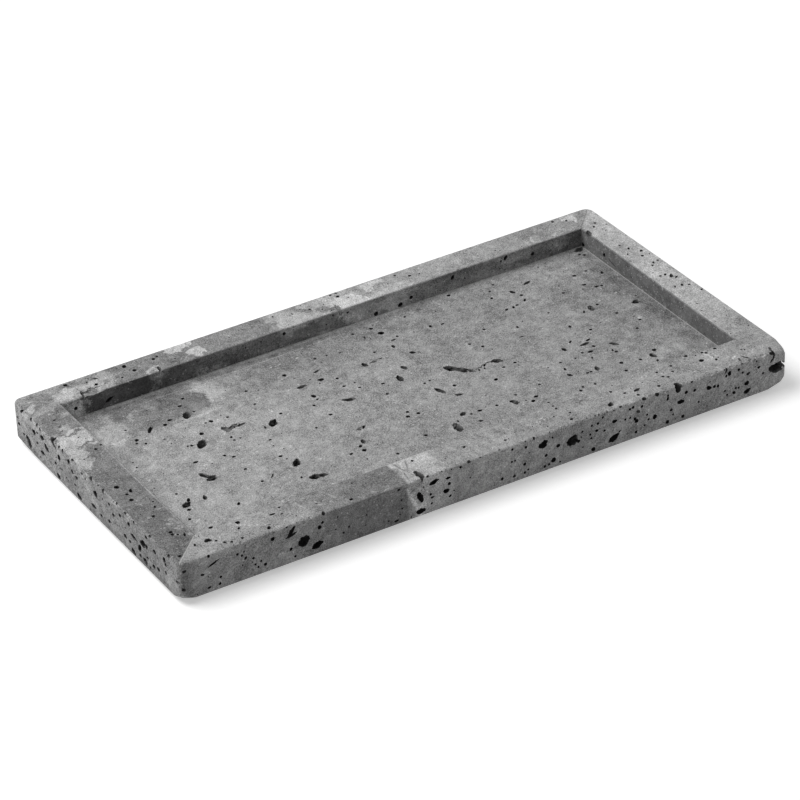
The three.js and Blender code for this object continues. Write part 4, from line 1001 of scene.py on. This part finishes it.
leftRail = {
    "tone": 0.19, "arris": 0,
    "patches": [
        (-151.5, -71, 6, 12, 0, 0.13, 0.5), (-149.5, 72, 8, 9, 0, 0.33, 0.4), (-144, -38, 40, 84, 0, 0.137, 0.4),
        (-141, -56, 10, 9, 0, 0.115, 0.4), (-149, 63.4, 7, 3.6, 65, 0.46, 0.25),
        (-144, 59.5, 15, 2.8, 15, 0.33, 0.5), (-138, 53, 5, 3.6, 0, 0.32, 0.4), (-144, 43, 6, 4.6, 30, 0.36, 0.3),
        (-143, 32, 19, 15.5, 0, 0.48, 0.1), (-149, 19, 10, 21, 0, 0.45, 0.12),
        (-139.5, 17, 9.5, 17, 12, 0.195, 0.1), (-145, 12.5, 5, 3, 80, 0.42, 0.3), (-139.5, -48, 5, 2, 30, 0.3, 0.4),
        (-140, -53, 4, 2.6, 0, 0.28, 0.4), (-144, 37.6, 12, 1.3, -12, 0.15, 0.4),
        (-141, 26.6, 13, 1.3, 20, 0.15, 0.4),
    ],
    "lines": [
        (-138.3, -35.4, 4, 0.8, 0, 0.3, 0.5), (-139.6, -44.8, 2.4, 1.2, 30, 0.4, 0.5),
        (-138.2, -52, 3, 2.4, 0, 0.3, 0.6), (-137.4, -59, 1.6, 2.4, 0, 0.36, 0.5),
        (-141.5, -47.5, 1.2, 2, 40, 0.34, 0.5), (-146, -39, 1.6, 1.2, 0, 0.3, 0.5),
        (-136.5, 0, 0.8, 121, 0, 0.3, 0.6),
    ],
    "pores": {
        "rim": [
            (-142.8, -16.8, 2.6, 1.3, 70), (-145.3, -18.4, 1.4), (-146.4, -11.2, 2.2), (-145.8, -23.2, 1.8),
            (-140, -33.2, 1.6, 0.9, 70), (-143.9, -39.1, 1.4), (-143.6, -53.4, 1.6), (-143.8, -55.4, 1.5),
            (-139.6, -58.2, 2.4, 1, 70), (-136.6, 21.8, 1.2), (-140, 20, 1.4), (-148.8, -70.8, 1.4),
            (-144.4, 50.6, 2, 0.7, 25),
        ],
        "left": [
            (-66.4, 18.6, 2.6, 1.2, 40), (-57.6, 19, 2, 1, -30), (-52, 19, 1.8, 1, -20),
            (-48.7, 18.6, 1.8, 0.9, -30), (-30.9, 18.9, 1.8, 1, -30), (-27.6, 18.9, 1.8, 1, -40),
            (-18.7, 19.2, 1.6, 0.9, 0), (-1.4, 19, 2.6, 1.2, -20), (9.7, 18.8, 2.2, 1.2, -30),
            (21.7, 19.2, 1.4, 0.9, 0), (29.7, 18.8, 1.6, 1, 0), (37.4, 18.6, 1.8, 1, 0), (50.8, 19.2, 1.6, 0.9, 0),
            (67.4, 18.8, 2, 1.1, 0), (-61.2, 5.7, 5.8, 2.8, -45), (-55, 14, 3, 2.2, 0), (-52, 15.2, 1.8, 1.1, 20),
            (-47.2, 15.2, 3.2, 2, 0), (-43.2, 12, 3.9, 2.2, -35), (-36.6, 18.4, 6.9, 1.9, -38),
            (-31.4, 13.4, 2.8, 2.5, 60), (-35.4, 8.6, 2.1, 1.4, 20), (-48, 7, 3.4, 1.8, 0),
            (-52.6, 9.6, 1.8, 1.1, 20), (-70.2, 10.2, 2.3, 1.5, 15), (-71, 13, 1.4), (-66, 7, 1.8, 1.2, 15),
            (-33.2, 3, 3, 2.2, -20), (-22, 16.6, 2.5, 2, 60), (-19, 13, 2.3, 1.8, -20), (-15.3, 12, 2.3, 1.6, 25),
            (-14, 3.2, 3.9, 2.2, -5), (-17.2, 7.3, 1.8, 0.9, 25), (-9.7, 17.2, 2.1, 1.1, 25), (2.2, 13.6, 3, 3, 60),
            (-0.3, 5.8, 3.9, 1.6, -5), (6.5, 4.8, 2.1, 1.4, 20), (14, 6, 2.3, 1.5, 20), (18.4, 11.7, 2.3, 1.6, 20),
            (15, 15.3, 2.1, 1.2, 20), (24.6, 15, 2.5, 1.5, 20), (32.5, 15, 2.3, 2, 60), (28.4, 6.7, 2.8, 1.8, 0),
            (32.5, 6.3, 2.1, 1.4, 20), (36.4, 10.6, 4.6, 1.8, -10), (41.2, 8, 3.2, 2.2, 60),
            (44.6, 12.2, 4.1, 3, 20), (47.8, 12.3, 2.1), (35.3, 2.8, 3, 2.4, -40), (46, 4, 3.4, 2.2, -20),
            (41.6, 4.4, 1.8), (48, 17.2, 2.1, 1.6, 0), (48, 7, 1.8, 1.1, 20), (53.4, 5.6, 2.3, 2, 30),
            (55, 13.8, 2.8, 1.8, 0), (57.6, 6.5, 2.3, 1.9, 0), (63.4, 14.8, 2.5, 2.2, 70), (64.5, 12.8, 1.7),
            (64.3, 8.8, 1.6), (73.8, 9.8, 1.8, 1.2, 15),
        ],
    },
    "scatter": [
        ("leftArris", 12, (-68, 62), (-0.3, 0.3), (0.6, 1.3)),
        ("rim", 14, (-150, -137), (-62, 62), (0.6, 1.1)),
        ("left", 36, (-70, 70), (1.5, 18.5), (0.6, 1.3)),
        ("leftWall", 14, (-59, 59), (0.8, 8.5), (0.7, 2)),
        ("under", 12, (137.5, 150), (-62, 62), (0.8, 2.6)),
    ],
    "sides": [{
        "facing": (-1, 0, 0), "reach": (0.3, 0.7), "tone": 0.19, "shade": 1.0, "smear": (10, 1.8, -35, 0.16),
        "patches": [
            (60, 10, 90, 40, 0, 1.55, 0.6), (8, 18, 15, 9, -30, 1.7, 0.4), (40, 16, 50, 6, 0, 1.75, 0.5),
            (-70, 12, 12, 12, 0, 1.3, 0.5), (18, 8, 20, 14, 0, 0.8, 0.5), (2, 11, 14, 12, 0, 1.5, 0.5),
            # painted shade: the last patch darkens the face along its foot
            (16, 11, 12, 10, 0, 1.35, 0.5), (-24, 19, 26, 6, 0, 1.7, 0.5), (-10, 0, 150, 6, 0, 0.55, 0.6),
        ],
    }],
    "box": leftBox,
}

rightRail = {
    "tone": 0.47, "arris": 0.06,
    "patches": [
        (146, 14, 14, 40, 0, 0.52, 0.6), (145, -66, 30, 54, 0, 0.315, 0.6), (143, -61, 9, 7, 0, 0.28, 0.5),
        (149, 32.5, 4.4, 3.2, 0, 0.37, 0.5), (146, 23.6, 2.2, 2, 0, 0.33, 0.5), (142, 45, 3.4, 2.6, 0, 0.39, 0.5),
        (146, 72, 7, 5, -45, 0.31, 0.4), (142, 30, 14, 20, 0, 0.43, 0.6),
    ],
    "pores": {
        "rim": [
            (143, 58.8, 1.6, 1, 60), (145.4, 61.4, 1.2), (137.6, 55, 4.4, 2, 65), (148.4, 27.8, 1.8, 1.4, 60),
            (144.8, 32.8, 2, 1, 60), (141.4, 28.6, 1.5, 0.8, 60), (146.2, 23.6, 1.4), (146.8, 15.6, 1.7, 1, 60),
            (145, 13.8, 1.2), (149.6, 16.4, 1.2), (146.6, 1.2, 3, 1.6, 65), (148, -1, 2.2, 0.9, 30),
            (145, 3.8, 1.6, 1.1, 50), (142.4, 3.8, 1.2), (146, -8.2, 2, 1.2, 70), (142.4, -7.8, 1.6, 0.8, 60),
            (148.8, -9.8, 1.2), (151, -16.6, 1.4, 0.9, 30),
        ],
        "rightWall": [(-42, 4, 2.2, 1.6, 60), (-35, 2.6, 5, 0.8, -15, 0.6), (-60.2, 1.2, 3, 2.2, 0)],
    },
    "scatter": [
        ("rightArris", 20, (-66, 68), (-0.2, 0.2), (0.5, 1)),
        ("rim", 14, (139, 150), (-60, 62), (0.6, 1.1)),
        ("right", 58, (-64, 72), (1.5, 16), (0.7, 3.8)),
        ("rightWall", 12, (-59, 59), (0.8, 8.5), (0.5, 0.8)),
        ("under", 12, (-150, -139), (-62, 62), (0.8, 2.6)),
    ],
    "open": {"front": cornerHollow},
    "sides": [{
        # painted shade: the inner right wall, and its arris too, darkened to a third of its tone
        "facing": (-1, 0, 0), "reach": (0.2, 0.6), "shade": 0.33, "smear": (14, 3, 20, 0.2),
        "patches": [(54, 14, 16, 40, 0, 0.42, 0.6)],
    }],
    "box": rightBox,
}

for side, look in (("front", frontRail), ("back", backRail), ("left", leftRail), ("right", rightRail)):
    rail = cutRail(blank, f"stone_{side}_rail", side)
    finishStone(rail, side, look)
    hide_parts(f"{side}_rail")
print("stone cut")

# resin, pads and their films: the floor's resin line, the pads and their films keep their CAD solids

speckles = {"detail": 4, "tilts": (0.2, 0.8), "uneven": 0.2, "bumpReach": 0.2}  # tilts: from upright sides, darkened by painted shade, to tops


def speckled(name, dark, pale, scale, roughness, bump, paintedSideShade=1.0):
    made, tree, shader = newMaterial(name)
    place = put(tree, "ShaderNodeTexCoord").outputs
    noise = addNoise(tree, place["Object"], scale, speckles["detail"])["Fac"]
    colour = put(tree, "ShaderNodeMix", {0: noise, 6: (*dark, 1), 7: (*pale, 1)}, data_type="RGBA").outputs[2]
    level = put(tree, "ShaderNodeSeparateXYZ", {0: place["Normal"]}).outputs[2]
    # painted shade: upright sides are darkened
    colour = scalePlace(tree, colour, ranged(tree, level, *speckles["tilts"], paintedSideShade))
    tree.links.new(colour, shader.inputs["Base Color"])
    rough = added(tree, roughness - speckles["uneven"] / 2, noise, speckles["uneven"])
    tree.links.new(rough, shader.inputs["Roughness"])
    addBump(tree, shader, noise, bump, speckles["bumpReach"])
    return made


finishes = {
    "resin": speckled("stoneResin", (0.32, 0.32, 0.32), (0.52, 0.52, 0.51), 420, 0.45, 0.15, 0.5),
    "pad_rubber": speckled("padRubber", (0.016, 0.016, 0.017), (0.04, 0.04, 0.041), 1800, 0.8, 0.4),
    "pad_film": speckled("padFilm", (0.5, 0.49, 0.44), (0.64, 0.63, 0.58), 500, 0.4, 0.1),
}
for part in frame["record"]["subparts"]:
    if part["material_slot"] in finishes:
        frame["nodes"][part["node"]].material_slots[0].material = finishes[part["material_slot"]]

# at the right the resin has the stone's own grey, and the films follow the worn corners
greyResin = speckled("greyResin", (0.26, 0.26, 0.26), (0.4, 0.4, 0.4), 420, 0.45, 0.15, 0.8)
for end, side in trayCorners:
    film = cutFilm(blank, f"resin_{side}_{end}", end, side)
    film.data.materials.append(greyResin if end == "right" else finishes["resin"])
    if (end, side) == ("right", "front"):
        for kind, lining in poreDepthShades.items():
            film.data.materials.append(poreMaterial("film" + kind, *frontBox, lining))
        # the outer hollow first, which keeps the thin film one closed skin
        cutPores(film, [("front", onFront(row), hollowKinds["open"]) for row in reversed(cornerHollow)])
    film.data.transform(Matrix.Translation(shift * mm))
    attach(film, "root")
    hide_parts(f"mitre_bond_{side}_{end}")

bpy.data.objects.remove(blank)
for mould in mouldSets["small"] + mouldSets["large"]:
    bpy.data.objects.remove(mould)
print("resin, pads and films finished")
